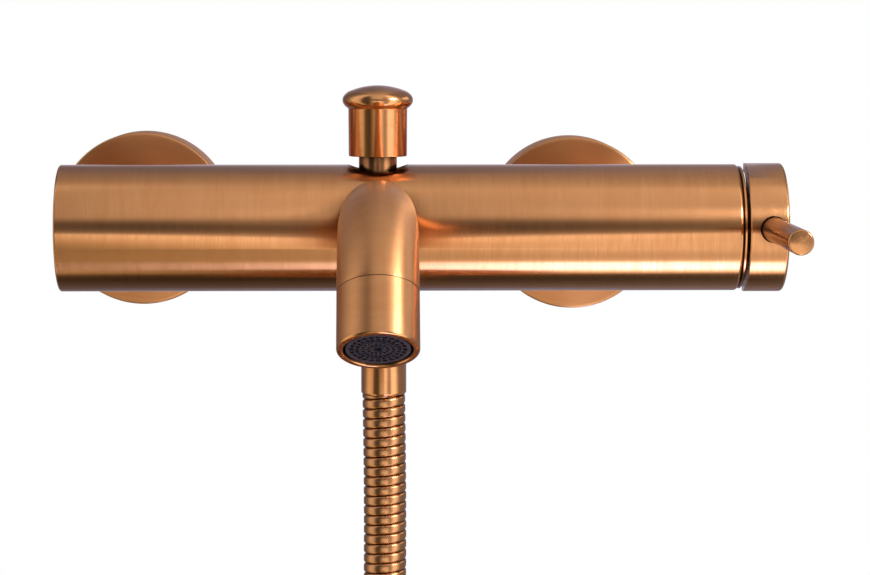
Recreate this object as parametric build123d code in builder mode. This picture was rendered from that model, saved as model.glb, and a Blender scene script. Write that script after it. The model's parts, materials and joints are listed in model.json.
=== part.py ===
"""Wall-mounted bath mixer with one side lever, a pull-up diverter, a fixed spout and a shower hose.

Frame, in millimetres: X runs along the body to the lever's end, Y runs from the room into the wall,
Z is up. The origin is on the hot inlet's axis, at the wall's surface, level with the body's axis.
"""
from build123d import *
import os
from math import acos, cos, degrees, pi, radians, sin, sqrt, tan

os.makedirs("parts", exist_ok=True)

# Driving dimensions
INLET_SPACING = 150.0       # standard distance between hot and cold inlets
WALL_TO_AXIS = 65.0         # body axis in front of the wall
BODY_R = 21.0
BODY_WALL = 3.4
BODY_LEFT = -23.3
BODY_RIGHT = 201.3
SPOUT_X = 82.0              # plane of the spout and of the diverter
SPOUT_R = 12.5
SPOUT_WALL = 3.0
MOUTH_WALL = 2.0            # the outlet's lip round the aerator
SPOUT_REACH = 98.0          # body axis to the centre of the mouth
SPOUT_ROOT_Z = 4.0
SPOUT_MOUTH_Z = -29.6
SPOUT_TILT = radians(57.3)  # the mouth's direction below the horizontal
OUTLET_LENGTH = 19.2        # from the seam to the mouth
KNOB_TOP_Z = 47.2
DIVERTER_LIFT = 7.0
CAP_LEFT = 203.4
CAP_RIGHT = 216.2
CAP_R = 21.35
LEVER_X = 210.9
LEVER_Z = 0.7               # the lever stands a little over the cap's middle
LEVER_R = 4.0
LEVER_REACH = 76.0          # body axis to the lever's tip
PIVOT_X = 185.0             # axis on which the spindle tips
FLOW_TIP = radians(12)      # how far the lever tips from closed to full flow
HOSE_X = 83.8
HOSE_R = 7.08
HOSE_LENGTH = 1500.0

# Standard sizes of threads and fits
G12_R = 10.48               # G 1/2 male thread, outside
G34_R = 13.22               # G 3/4 male thread, outside
THREAD_GAP = 0.06           # left between a thread and its mate
FIT_GAP = 0.05

BODY_Y = -WALL_TO_AXIS
BORE_R = BODY_R - BODY_WALL
CORE_R = BORE_R - FIT_GAP
SADDLE_R = BODY_R + 0.03    # hollow of the pieces that stand on the body's round side
THROUGH = 4 * BODY_R        # longer than any cut through the body
INLETS = {"hot": 0.0, "cold": INLET_SPACING}

# Planes and axes that the pieces share
LATHE = Plane.XZ.offset(WALL_TO_AXIS)
BODY_AXIS = Axis((0, BODY_Y, 0), (1, 0, 0))
DIVERTER_AXIS = Axis((SPOUT_X, BODY_Y, 0), (0, 0, 1))
HOSE_AXIS = Axis((HOSE_X, BODY_Y, 0), (0, 0, 1))


def save(part, name):
    """Labels one finished piece and writes it."""
    part.label = name
    export_step(part, f"parts/{name}.step")


def face_x(x, y=0.0, z=0.0):
    """Plane across the body at x; its own x is the part's Y, its own y is Z, from the body's axis."""
    return Plane(origin=(x, BODY_Y + y, z), x_dir=(0, 1, 0), z_dir=(1, 0, 0))


def face_y(x, depth, z=0.0):
    """Plane facing the wall, `depth` behind the body's axis; its own x is X and its own y runs down."""
    return Plane(origin=(x, BODY_Y + depth, z), x_dir=(1, 0, 0), z_dir=(0, 1, 0))


def face_z(x, z):
    """Level plane at height z, centred on x and the body's axis."""
    return Plane(origin=(x, BODY_Y, z), x_dir=(1, 0, 0), z_dir=(0, 0, 1))


def face_room(x, ahead, z=0.0):
    """Plane facing the room, `ahead` in front of the body's axis."""
    return Plane(origin=(x, BODY_Y - ahead, z), x_dir=(1, 0, 0), z_dir=(0, -1, 0))


def disc_on(plane, radius, length, mode=Mode.ADD):
    """Round bar of one radius that starts on a plane and runs along its normal."""
    with BuildSketch(plane) as section:
        Circle(radius)
    extrude(section.sketch, amount=length, mode=mode)


def ring_on(plane, outer, inner, length, mode=Mode.ADD):
    """Tube that starts on a plane and runs along its normal."""
    with BuildSketch(plane) as section:
        Circle(outer)
        Circle(inner, mode=Mode.SUBTRACT)
    extrude(section.sketch, amount=length, mode=mode)


def turned(points, axis):
    """Solid turned about an axis from a closed outline of straight lines."""
    with BuildSketch(LATHE) as section:
        with BuildLine():
            Polyline(*points, close=True)
        make_face()
    revolve(section.sketch, axis=axis)


def body_rims(part, radius):
    """Round edges of one radius about the body's axis, from left to right."""
    rims = part.edges().filter_by(GeomType.CIRCLE).filter_by(
        lambda e: abs(e.radius - radius) < 0.01 and abs(e.normal().X) > 0.99)
    return rims.sort_by(Axis.X)


# Body

RIGHT_ROUND = 1.2           # roundings of the body's two rims
LEFT_ROUND = 0.7
RECESS_R = 10.0             # round recess in the body's top, round the diverter's sleeve
RECESS_FLOOR = 14.0
SPOUT_THREAD_R = SPOUT_R - SPOUT_WALL - FIT_GAP
INLET_HOLE_R = 9.0
OUTLET_HOLE_R = 8.0

with BuildPart() as body_shell:
    ring_on(face_x(BODY_LEFT), BODY_R, BORE_R, BODY_RIGHT - BODY_LEFT)
    fillet(body_rims(body_shell, BODY_R)[-1], radius=RIGHT_ROUND)
    fillet(body_rims(body_shell, BODY_R)[0], radius=LEFT_ROUND)
    disc_on(face_z(SPOUT_X, 0), RECESS_R, THROUGH, mode=Mode.SUBTRACT)
    disc_on(face_room(SPOUT_X, 0, SPOUT_ROOT_Z), SPOUT_THREAD_R + THREAD_GAP, THROUGH, mode=Mode.SUBTRACT)
    disc_on(face_z(HOSE_X, 0), OUTLET_HOLE_R + THREAD_GAP, -THROUGH, mode=Mode.SUBTRACT)
    for inlet_x in INLETS.values():
        disc_on(face_y(inlet_x, 0), INLET_HOLE_R + THREAD_GAP, THROUGH, mode=Mode.SUBTRACT)
save(body_shell.part, "body_shell")

# Waterway core: one brass bar with three channels along it and the diverter's chamber across it

CORE_LEFT = -16.4
CORE_RIGHT = 167.2
CHANNEL_R = 2.3
INLET_POCKET = 15.0         # how far behind the axis the inlets' pockets end
CHANNELS = {                # how far behind the axis, how high, and where each starts
    "hot": (10.4, 3.2, INLETS["hot"]),
    "cold": (10.4, -3.2, INLETS["cold"]),
    "mixed": (0.0, -10.4, SPOUT_X),
}
CHAMBER_R = 6.6
GLAND_R = 6.9
GLAND_BOTTOM = 9.5
SPOUT_PORT_Z = 5.5
SPOUT_PORT_R = 3.9
POCKET_DEPTH = 14.0         # how far in front of the axis the spout's nipple ends

with BuildPart() as waterway_core:
    disc_on(face_x(CORE_LEFT), CORE_R, CORE_RIGHT - CORE_LEFT)
    for behind, height, start in CHANNELS.values():
        disc_on(face_x(start, behind, height), CHANNEL_R, CORE_RIGHT - start, mode=Mode.SUBTRACT)
    for name in INLETS:
        behind, height, start = CHANNELS[name]
        disc_on(face_y(start, behind, height), CHANNEL_R, BODY_R, mode=Mode.SUBTRACT)
        disc_on(face_y(start, INLET_POCKET), INLET_HOLE_R + THREAD_GAP, BODY_R, mode=Mode.SUBTRACT)
    disc_on(face_z(SPOUT_X, -BODY_R), CHAMBER_R, THROUGH, mode=Mode.SUBTRACT)
    disc_on(face_z(SPOUT_X, GLAND_BOTTOM), GLAND_R + THREAD_GAP, BODY_R, mode=Mode.SUBTRACT)
    disc_on(face_z(SPOUT_X, RECESS_FLOOR), RECESS_R, BODY_R, mode=Mode.SUBTRACT)
    disc_on(face_room(SPOUT_X, 0, SPOUT_PORT_Z), SPOUT_PORT_R, BODY_R, mode=Mode.SUBTRACT)
    disc_on(face_room(SPOUT_X, POCKET_DEPTH, SPOUT_ROOT_Z), SPOUT_THREAD_R + THREAD_GAP, BODY_R,
            mode=Mode.SUBTRACT)
save(waterway_core.part, "waterway_core")

# Left end: a plug flush with the rounded end, and its seal

PLUG_LENGTH = 6.4
PLUG_SEAL_X = -18.8
PLUG_GROOVE_R = 16.0
PLUG_GROOVE = 1.6
PLUG_SEAL_R = 0.75          # section of the seal

with BuildPart() as end_plug:
    disc_on(face_x(BODY_LEFT), CORE_R, PLUG_LENGTH)
    ring_on(face_x(PLUG_SEAL_X - PLUG_GROOVE / 2), BODY_R, PLUG_GROOVE_R, PLUG_GROOVE, mode=Mode.SUBTRACT)
save(end_plug.part, "end_plug")

with BuildPart() as end_plug_o_ring:
    with BuildSketch(LATHE):
        with Locations((PLUG_SEAL_X, PLUG_GROOVE_R + PLUG_SEAL_R + 0.03)):
            Circle(PLUG_SEAL_R)
    revolve(axis=BODY_AXIS)
save(end_plug_o_ring.part, "end_plug_o_ring")

# Inlets, each with its nipple, union nut, filter washer, wall union, rosette and foam seal.
# Depths are from the body's axis towards the wall.

NIPPLE_START = INLET_POCKET + 0.1
NIPPLE_END = 36.0
NIPPLE_BORE_R = 6.0
COLLAR_R = 12.4
COLLAR_START = 33.6
NUT_START = 30.4
NUT_END = 45.4
NUT_SEAT = 33.4             # where the nut's shoulder holds the nipple's collar
NUT_ACROSS = 30.0           # across the flats of a G 3/4 union nut
WASHER_END = 38.0
MESH_CELL = 1.7             # the filter's mesh
MESH_PITCH = 2.6
MESH_THICK = 0.5
UNION_HEAD_END = 52.0
STUD_LENGTH = 14.0          # the G 1/2 end that screws into the wall
ROSETTE_R = 30.0
ROSETTE_FRONT = 46.0
ROSETTE_WALL = 1.2
ROSETTE_HOLE_R = 15.3
ROSETTE_ROUND = 0.8
ROSETTE_DROP = {"hot": 0.0, "cold": -1.7}   # each rosette sits loose on its union
SEAL_DEPTH = 2.0
SEAL_INNER_R = 25.0

for name, inlet_x in INLETS.items():
    with BuildPart() as inlet_nipple:
        disc_on(face_y(inlet_x, NIPPLE_START), INLET_HOLE_R, NIPPLE_END - NIPPLE_START)
        disc_on(face_y(inlet_x, COLLAR_START), COLLAR_R, NIPPLE_END - COLLAR_START)
        disc_on(face_y(inlet_x, NIPPLE_START), NIPPLE_BORE_R, THROUGH, mode=Mode.SUBTRACT)
    save(inlet_nipple.part, f"inlet_nipple_{name}")

    with BuildPart() as union_nut:
        with BuildSketch(face_y(inlet_x, NUT_START)):
            RegularPolygon(NUT_ACROSS / 2, 6, major_radius=False)
        extrude(amount=NUT_END - NUT_START)
        disc_on(face_y(inlet_x, NUT_START), NUT_ACROSS / 2 + 1.2, NUT_END - NUT_START, mode=Mode.INTERSECT)
        disc_on(face_y(inlet_x, NUT_START), INLET_HOLE_R + 0.2, THROUGH, mode=Mode.SUBTRACT)
        disc_on(face_y(inlet_x, NUT_SEAT), G34_R + THREAD_GAP, THROUGH, mode=Mode.SUBTRACT)
    save(union_nut.part, f"union_nut_{name}")

    with BuildPart() as filter_washer:
        ring_on(face_y(inlet_x, NIPPLE_END), COLLAR_R, NIPPLE_BORE_R, WASHER_END - NIPPLE_END)
        with BuildSketch(face_y(inlet_x, NIPPLE_END + 0.7)):
            Circle(NIPPLE_BORE_R)
            with GridLocations(MESH_PITCH, MESH_PITCH, 3, 3):
                Rectangle(MESH_CELL, MESH_CELL, mode=Mode.SUBTRACT)
        extrude(amount=MESH_THICK)
    save(filter_washer.part, f"filter_washer_{name}")

    with BuildPart() as wall_union:
        disc_on(face_y(inlet_x, WASHER_END), G34_R, UNION_HEAD_END - WASHER_END)
        disc_on(face_y(inlet_x, WASHER_END), G12_R, WALL_TO_AXIS + STUD_LENGTH - WASHER_END)
        disc_on(face_y(inlet_x, WASHER_END), NIPPLE_BORE_R, THROUGH, mode=Mode.SUBTRACT)
    save(wall_union.part, f"wall_union_{name}")

    with BuildPart() as rosette:
        front = face_y(inlet_x, ROSETTE_FRONT, ROSETTE_DROP[name])
        disc_on(front, ROSETTE_R, WALL_TO_AXIS - ROSETTE_FRONT)
        fillet(rosette.faces().sort_by(Axis.Y)[0].edges(), radius=ROSETTE_ROUND)
        inside = face_y(inlet_x, ROSETTE_FRONT + ROSETTE_WALL, ROSETTE_DROP[name])
        disc_on(inside, ROSETTE_R - ROSETTE_WALL, THROUGH, mode=Mode.SUBTRACT)
        disc_on(front, ROSETTE_HOLE_R, THROUGH, mode=Mode.SUBTRACT)
    save(rosette.part, f"rosette_{name}")

    with BuildPart() as rosette_seal:
        back = face_y(inlet_x, WALL_TO_AXIS - SEAL_DEPTH, ROSETTE_DROP[name])
        ring_on(back, ROSETTE_R - ROSETTE_WALL - FIT_GAP, SEAL_INNER_R, SEAL_DEPTH)
    save(rosette_seal.part, f"rosette_seal_{name}")

# Spout: a nipple in the body, the bent arm, and the outlet sleeve past the seam

SEAM_GAP = 0.15
SPIGOT_LENGTH = 5.0
SPIGOT_R = SPOUT_R - SPOUT_WALL - 0.45      # clear of the arm's bend
SPIGOT_WALL = 1.5
LIP_ROUND = 0.7
NIPPLE_LENGTH = 22.0
NIPPLE_WALL = 2.4
ARM_START = 8.0             # in front of the body's axis, before the saddle is cut
MOUTH_R = SPOUT_R - MOUTH_WALL
LEDGE = 4.0                 # how far past the seam the aerator's chamber starts
ARM_INNER_R = SPOUT_R - SPOUT_WALL
flow_y = -cos(SPOUT_TILT)
flow_z = -sin(SPOUT_TILT)
mouth_y = BODY_Y - SPOUT_REACH
seam_y = mouth_y - OUTLET_LENGTH * flow_y
seam_z = SPOUT_MOUTH_Z - OUTLET_LENGTH * flow_z
bend_r = (SPOUT_ROOT_Z - seam_z) / (1 - cos(SPOUT_TILT))
bend_y = seam_y + bend_r * sin(SPOUT_TILT)


def along_spout(distance):
    """Plane across the outlet, `distance` past the seam, facing the way the water goes."""
    origin = (SPOUT_X, seam_y + distance * flow_y, seam_z + distance * flow_z)
    return Plane(origin=origin, x_dir=(1, 0, 0), z_dir=(0, flow_y, flow_z))


with BuildPart() as spout_nipple:
    ring_on(face_room(SPOUT_X, POCKET_DEPTH + 0.2, SPOUT_ROOT_Z), SPOUT_THREAD_R,
            SPOUT_THREAD_R - NIPPLE_WALL, NIPPLE_LENGTH)
save(spout_nipple.part, "spout_nipple")

with BuildPart() as spout_arm:
    with BuildLine(Plane.YZ.offset(SPOUT_X)) as arm_path:
        Line((BODY_Y - ARM_START, SPOUT_ROOT_Z), (bend_y, SPOUT_ROOT_Z))
        JernArc((bend_y, SPOUT_ROOT_Z), (-1, 0), bend_r, degrees(SPOUT_TILT))
    with BuildSketch(face_room(SPOUT_X, ARM_START, SPOUT_ROOT_Z)):
        Circle(SPOUT_R)
        Circle(ARM_INNER_R, mode=Mode.SUBTRACT)
    sweep(path=arm_path.wires()[0])
    disc_on(face_x(BODY_LEFT), SADDLE_R, BODY_RIGHT - BODY_LEFT, mode=Mode.SUBTRACT)
save(spout_arm.part, "spout_arm")

with BuildPart() as spout_outlet:
    disc_on(along_spout(SEAM_GAP), SPOUT_R, OUTLET_LENGTH - SEAM_GAP)
    fillet(spout_outlet.faces().sort_by(Axis.Z)[0].edges(), radius=LIP_ROUND)
    disc_on(along_spout(-SPIGOT_LENGTH), SPIGOT_R, SPIGOT_LENGTH + SEAM_GAP)
    disc_on(along_spout(-SPIGOT_LENGTH), SPIGOT_R - SPIGOT_WALL, THROUGH, mode=Mode.SUBTRACT)
    disc_on(along_spout(LEDGE), MOUTH_R, THROUGH, mode=Mode.SUBTRACT)
save(spout_outlet.part, "spout_outlet")

# Aerator: housing, grid with rings of cells, and seal ring

AERATOR_R = 9.7
AERATOR_FACE = OUTLET_LENGTH - 0.6      # its face lies a little inside the mouth
AERATOR_DEPTH = 9.0
GRID_R = 8.8
GRID_DEPTH = 1.2
CELL_RINGS = (              # radius, number of cells, and a cell's size from the axis and round it
    (7.95, 24, 1.15, 1.6), (6.4, 24, 1.15, 1.2), (4.6, 22, 1.0, 0.85), (3.0, 14, 1.1, 0.85))
GRID_HOLE_R = 1.2
GRID_RIBS = (5.4, 1.8)      # thin raised rings between the cells
GRID_RIB = 0.3
THROAT_R = GRID_R - 1.0     # the water's way through the housing and its seal
SEAL_STEP = 2.4             # how far the seal's rim stays behind the aerator's face

with BuildPart() as aerator_housing:
    disc_on(along_spout(AERATOR_FACE - AERATOR_DEPTH), AERATOR_R, AERATOR_DEPTH)
    disc_on(along_spout(AERATOR_FACE - GRID_DEPTH - 0.1), GRID_R, THROUGH, mode=Mode.SUBTRACT)
    disc_on(along_spout(AERATOR_FACE - AERATOR_DEPTH), THROAT_R, THROUGH, mode=Mode.SUBTRACT)
save(aerator_housing.part, "aerator_housing")

with BuildPart() as aerator_grid:
    disc_on(along_spout(AERATOR_FACE - GRID_DEPTH), GRID_R - FIT_GAP, GRID_DEPTH)
    with BuildSketch(along_spout(AERATOR_FACE)):
        Circle(GRID_HOLE_R)
        for ring_r, count, outward, round_it in CELL_RINGS:
            with PolarLocations(ring_r, count):
                Rectangle(outward, round_it)
    extrude(amount=-GRID_DEPTH, mode=Mode.SUBTRACT)
    for rib_r in GRID_RIBS:
        ring_on(along_spout(AERATOR_FACE), rib_r + GRID_RIB / 2, rib_r - GRID_RIB / 2, GRID_RIB)
save(aerator_grid.part, "aerator_grid")

with BuildPart() as aerator_seal:
    bottom = LEDGE + FIT_GAP
    ring_on(along_spout(bottom), MOUTH_R - FIT_GAP, THROAT_R, AERATOR_FACE - AERATOR_DEPTH - bottom)
    ring_on(along_spout(bottom), MOUTH_R - FIT_GAP, AERATOR_R, AERATOR_FACE - bottom - SEAL_STEP)
save(aerator_seal.part, "aerator_seal")

# Diverter. Down, as here, it feeds the spout; pulled up, it feeds the hose.

SLEEVE_R = 6.3
SLEEVE_FLANGE = 1.0         # flange and then a low hexagon, over the recess's floor
SLEEVE_HEX = 2.2
SLEEVE_HEX_ACROSS = 15.2
SLEEVE_TOP = 34.0
SPRING_BORE_R = 5.0
ROD_R = 2.0
ROD_HOLE_R = ROD_R + 0.05
ROD_TOP = 42.5
GUIDE_TOP = 12.2
ROD_COLLAR_TOP = 14.4
SLEEVE_CAP_BOTTOM = 30.0
SKIRT_BOTTOM = 23.8
SKIRT_TOP = 39.7
HEAD_R = 11.7
DOME = 1.7                  # height of the round top over the head's rim
LOWER_SEAT_TOP = -14.4
SEAT_HEIGHT = 1.7
SEAT_BORE_R = 4.0
VALVE_BOTTOM = LOWER_SEAT_TOP + 0.2
VALVE_WASHER = 2.0
VALVE_WASHER_R = 5.6
VALVE_DISC = 2.6
VALVE_DISC_R = 5.2
ROD_COLLAR_BOTTOM = GUIDE_TOP + 0.6
UPPER_SEAT_BOTTOM = VALVE_BOTTOM + 2 * VALVE_WASHER + VALVE_DISC + DIVERTER_LIFT + 0.2
ROD_SEAL_Z = 10.9
ROD_SEAL_R = 0.72           # section of the rod's seal
ROD_GROOVE = 1.5
ROD_GROOVE_R = 3.7

with BuildPart() as diverter_sleeve:
    disc_on(face_z(SPOUT_X, GLAND_BOTTOM), GLAND_R, RECESS_FLOOR - GLAND_BOTTOM + SLEEVE_FLANGE)
    with BuildSketch(face_z(SPOUT_X, RECESS_FLOOR + SLEEVE_FLANGE)):
        RegularPolygon(SLEEVE_HEX_ACROSS / 2, 6, major_radius=False)
    extrude(amount=SLEEVE_HEX)
    disc_on(face_z(SPOUT_X, RECESS_FLOOR), SLEEVE_R, SLEEVE_TOP - RECESS_FLOOR)
    chamfer(diverter_sleeve.faces().sort_by(Axis.Z)[-1].edges(), length=0.4)
    disc_on(face_z(SPOUT_X, GUIDE_TOP), SPRING_BORE_R, THROUGH, mode=Mode.SUBTRACT)
    disc_on(face_z(SPOUT_X, 0), ROD_HOLE_R, THROUGH, mode=Mode.SUBTRACT)
    disc_on(face_z(SPOUT_X, ROD_SEAL_Z - ROD_GROOVE / 2), ROD_GROOVE_R, ROD_GROOVE, mode=Mode.SUBTRACT)
save(diverter_sleeve.part, "diverter_sleeve")

with BuildPart() as sleeve_washer:
    ring_on(face_z(SPOUT_X, RECESS_FLOOR), RECESS_R - 1, GLAND_R + THREAD_GAP, SLEEVE_FLANGE)
save(sleeve_washer.part, "sleeve_washer")

with BuildPart() as sleeve_cap:
    ring_on(face_z(SPOUT_X, SLEEVE_CAP_BOTTOM), SPRING_BORE_R - THREAD_GAP, ROD_HOLE_R,
            SLEEVE_TOP - SLEEVE_CAP_BOTTOM)
save(sleeve_cap.part, "sleeve_cap")

with BuildPart() as rod_o_ring:
    with BuildSketch(LATHE):
        with Locations((SPOUT_X + (ROD_HOLE_R + ROD_GROOVE_R) / 2, ROD_SEAL_Z)):
            Circle(ROD_SEAL_R)
    revolve(axis=DIVERTER_AXIS)
save(rod_o_ring.part, "rod_o_ring")

for name, bottom in {"lower": LOWER_SEAT_TOP - SEAT_HEIGHT, "upper": UPPER_SEAT_BOTTOM}.items():
    with BuildPart() as valve_seat:
        ring_on(face_z(SPOUT_X, bottom), CHAMBER_R - FIT_GAP, SEAT_BORE_R, SEAT_HEIGHT)
    save(valve_seat.part, f"valve_seat_{name}")

with BuildPart() as diverter_rod:
    disc_on(face_z(SPOUT_X, VALVE_BOTTOM), ROD_R, ROD_TOP - VALVE_BOTTOM)
    disc_on(face_z(SPOUT_X, ROD_COLLAR_BOTTOM), SPRING_BORE_R - 0.4, ROD_COLLAR_TOP - ROD_COLLAR_BOTTOM)
save(diverter_rod.part, "diverter_rod")

with BuildPart() as diverter_valve:
    ring_on(face_z(SPOUT_X, VALVE_BOTTOM + VALVE_WASHER), VALVE_DISC_R, ROD_R, VALVE_DISC)
save(diverter_valve.part, "diverter_valve")

with BuildPart() as valve_washers:
    for bottom in (VALVE_BOTTOM, VALVE_BOTTOM + VALVE_WASHER + VALVE_DISC):
        ring_on(face_z(SPOUT_X, bottom), VALVE_WASHER_R, ROD_R, VALVE_WASHER)
save(valve_washers.part, "valve_washers")

SPRING_WIRE_R = 0.45
SPRING_TURNS = 8
spring_r = (ROD_R + SPRING_BORE_R) / 2
spring_height = SLEEVE_CAP_BOTTOM - ROD_COLLAR_TOP - 2 * SPRING_WIRE_R - 0.1
with BuildPart() as return_spring:
    with BuildLine(face_z(SPOUT_X, ROD_COLLAR_TOP + SPRING_WIRE_R + 0.05)) as spring_path:
        Helix(pitch=spring_height / SPRING_TURNS, height=spring_height, radius=spring_r)
    wire = spring_path.wires()[0]
    with BuildSketch(Plane(origin=wire @ 0, z_dir=wire % 0)):
        Circle(SPRING_WIRE_R)
    sweep(path=wire, is_frenet=True)
save(return_spring.part, "return_spring")

SKIRT = ((0, SKIRT_BOTTOM), (9.4, SKIRT_BOTTOM), (9.65, SKIRT_BOTTOM + 0.25), (9.75, SKIRT_TOP - 0.3),
         (9.9, SKIRT_TOP))                  # outline of the skirt: from the axis, height
HEAD_UNDER = ((11.3, 41.0), (HEAD_R, 42.4))         # the flare under the head, up to its widest place
DOME_R = 8.9                # where the head's side ends and its round top starts
HEAD_OVER = ((10.9, 44.2), (DOME_R, KNOB_TOP_Z - DOME))
KNOB_CAVITY_TOP = SLEEVE_TOP + 2
KNOB_SCREW_Z = 38.4
KNOB_SCREW_R = 1.25
KNOB_SCREW_LENGTH = 6.5
SOCKET_DEPTH = 2.0          # hexagon sockets of the grub screws


def from_diverter(points):
    """Outline points given as distance from the diverter's axis and height."""
    return [(SPOUT_X + r, z) for r, z in points]


dome_arc_r = (DOME_R ** 2 + DOME ** 2) / (2 * DOME)
with BuildPart() as diverter_knob:
    with BuildSketch(LATHE):
        with BuildLine():
            Polyline(*from_diverter(SKIRT))
            ThreePointArc(*from_diverter((SKIRT[-1],) + HEAD_UNDER))
            ThreePointArc(*from_diverter((HEAD_UNDER[-1],) + HEAD_OVER))
            RadiusArc(*from_diverter((HEAD_OVER[-1], (0, KNOB_TOP_Z))), -dome_arc_r)
            Line(*from_diverter(((0, KNOB_TOP_Z), (0, SKIRT_BOTTOM))))
        make_face()
    revolve(axis=DIVERTER_AXIS)
    disc_on(face_z(SPOUT_X, SKIRT_BOTTOM), SLEEVE_R + 0.6, KNOB_CAVITY_TOP - SKIRT_BOTTOM,
            mode=Mode.SUBTRACT)
    disc_on(face_z(SPOUT_X, SKIRT_BOTTOM), ROD_R, ROD_TOP - SKIRT_BOTTOM, mode=Mode.SUBTRACT)
    disc_on(face_y(SPOUT_X, 0, KNOB_SCREW_Z), KNOB_SCREW_R, THROUGH, mode=Mode.SUBTRACT)
save(diverter_knob.part, "diverter_knob")

with BuildPart() as knob_grub_screw:
    disc_on(face_y(SPOUT_X, ROD_R + 0.02, KNOB_SCREW_Z), KNOB_SCREW_R, KNOB_SCREW_LENGTH)
    with BuildSketch(face_y(SPOUT_X, ROD_R + 0.02 + KNOB_SCREW_LENGTH, KNOB_SCREW_Z)):
        RegularPolygon(0.65, 6, major_radius=False)
    extrude(amount=-SOCKET_DEPTH, mode=Mode.SUBTRACT)
save(knob_grub_screw.part, "knob_grub_screw")

# Cartridge, across the body's right end. The yoke turns about the body's axis, and the spindle
# tips in it about the yoke pin.

HOUSING_LEFT = 167.4
HOUSING_RIGHT = 191.2
HOUSING_R = 17.2
HOUSING_INNER_R = 14.6
BASE_TOP = 170.0
TOP_BOTTOM = 188.6
FIXED_DISC_END = 173.0
MOVING_DISC_START = 173.05
MOVING_DISC_END = 176.0
CARRIER_END = 179.6
FOOT_X = 179.2
FOOT_R = 2.6
NECK_R = 1.9
BAR_LEFT = 181.9
SPINDLE_HALF = 4.0
SPINDLE_END = 207.0
YOKE_LEFT = 180.3
YOKE_NECK_END = 192.5
YOKE_NECK_R = 8.4
YOKE_SLOT = (-5.6, 6.5)     # slot that the spindle tips in, from and to, along the part's Y
PIN_R = 1.5
PIN_LENGTH = 15.2
PORT_SEAL_R = 2.95
PORT_SEAL_DEPTH = 0.9       # depth of the seals' seats, which they stand out of
PORT_SEAL_LENGTH = 1.05
DISC_R = 12.6
DISC_SLOT = (18.0, 8.0)     # chamber in the moving disc's face that joins the ports
DISC_SLOT_DEPTH = 1.8

with BuildPart() as cartridge_housing:
    turned([(HOUSING_LEFT, 0), (HOUSING_RIGHT, 0), (HOUSING_RIGHT, HOUSING_R), (HOUSING_LEFT, HOUSING_R)],
           BODY_AXIS)
    disc_on(face_x(BASE_TOP), HOUSING_INNER_R, TOP_BOTTOM - BASE_TOP, mode=Mode.SUBTRACT)
    disc_on(face_x(BASE_TOP), YOKE_NECK_R + 0.2, THROUGH, mode=Mode.SUBTRACT)
    for behind, height, start in CHANNELS.values():
        port = face_x(HOUSING_LEFT, behind, height)
        disc_on(port, CHANNEL_R, FIXED_DISC_END - HOUSING_LEFT, mode=Mode.SUBTRACT)
        disc_on(port, PORT_SEAL_R + FIT_GAP, PORT_SEAL_DEPTH, mode=Mode.SUBTRACT)
save(cartridge_housing.part, "cartridge_housing")

with BuildPart() as port_seals:
    for behind, height, start in CHANNELS.values():
        ring_on(face_x(CORE_RIGHT, behind, height), PORT_SEAL_R, CHANNEL_R, PORT_SEAL_LENGTH)
save(port_seals.part, "port_seals")

with BuildPart() as fixed_disc:
    disc_on(face_x(BASE_TOP), HOUSING_INNER_R - 0.1, FIXED_DISC_END - BASE_TOP)
    for behind, height, start in CHANNELS.values():
        disc_on(face_x(BASE_TOP, behind, height), CHANNEL_R - 0.2, THROUGH, mode=Mode.SUBTRACT)
save(fixed_disc.part, "fixed_disc")

with BuildPart() as moving_disc:
    disc_on(face_x(MOVING_DISC_START), DISC_R, MOVING_DISC_END - MOVING_DISC_START)
    with BuildSketch(face_x(MOVING_DISC_START)):
        SlotOverall(*DISC_SLOT)
    extrude(amount=DISC_SLOT_DEPTH, mode=Mode.SUBTRACT)
save(moving_disc.part, "moving_disc")

with BuildPart() as disc_carrier:
    disc_on(face_x(MOVING_DISC_END), DISC_R - 0.2, CARRIER_END - MOVING_DISC_END)
    disc_on(face_x(MOVING_DISC_END + 0.3), FOOT_R + 0.2, THROUGH, mode=Mode.SUBTRACT)
save(disc_carrier.part, "disc_carrier")

with BuildPart() as cartridge_yoke:
    disc_on(face_x(YOKE_LEFT), HOUSING_INNER_R - 0.2, TOP_BOTTOM - 0.1 - YOKE_LEFT)
    disc_on(face_x(YOKE_LEFT), YOKE_NECK_R, YOKE_NECK_END - YOKE_LEFT)
    with BuildSketch(face_x(YOKE_LEFT)):
        with Locations((sum(YOKE_SLOT) / 2, 0)):
            Rectangle(YOKE_SLOT[1] - YOKE_SLOT[0], 2 * SPINDLE_HALF + 0.4)
    extrude(amount=THROUGH, mode=Mode.SUBTRACT)
    disc_on(face_z(PIVOT_X, -PIN_LENGTH / 2), PIN_R, PIN_LENGTH, mode=Mode.SUBTRACT)
save(cartridge_yoke.part, "cartridge_yoke")

with BuildPart() as yoke_pin:
    disc_on(face_z(PIVOT_X, -PIN_LENGTH / 2), PIN_R, PIN_LENGTH)
save(yoke_pin.part, "yoke_pin")

neck_x = FOOT_X + sqrt(FOOT_R ** 2 - NECK_R ** 2)
with BuildPart() as spindle:
    with BuildSketch(LATHE):
        with BuildLine():
            ThreePointArc((FOOT_X - FOOT_R, 0), (FOOT_X, FOOT_R), (neck_x, NECK_R))
            Polyline((neck_x, NECK_R), (PIVOT_X, NECK_R), (PIVOT_X, 0), (FOOT_X - FOOT_R, 0))
        make_face()
    revolve(axis=BODY_AXIS)
    with BuildSketch(face_x(BAR_LEFT)):
        Rectangle(2 * SPINDLE_HALF, 2 * SPINDLE_HALF)
    extrude(amount=SPINDLE_END - BAR_LEFT)
    disc_on(face_z(PIVOT_X, -PIN_LENGTH), PIN_R + 0.1, 2 * PIN_LENGTH, mode=Mode.SUBTRACT)
save(spindle.part, "spindle")

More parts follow.
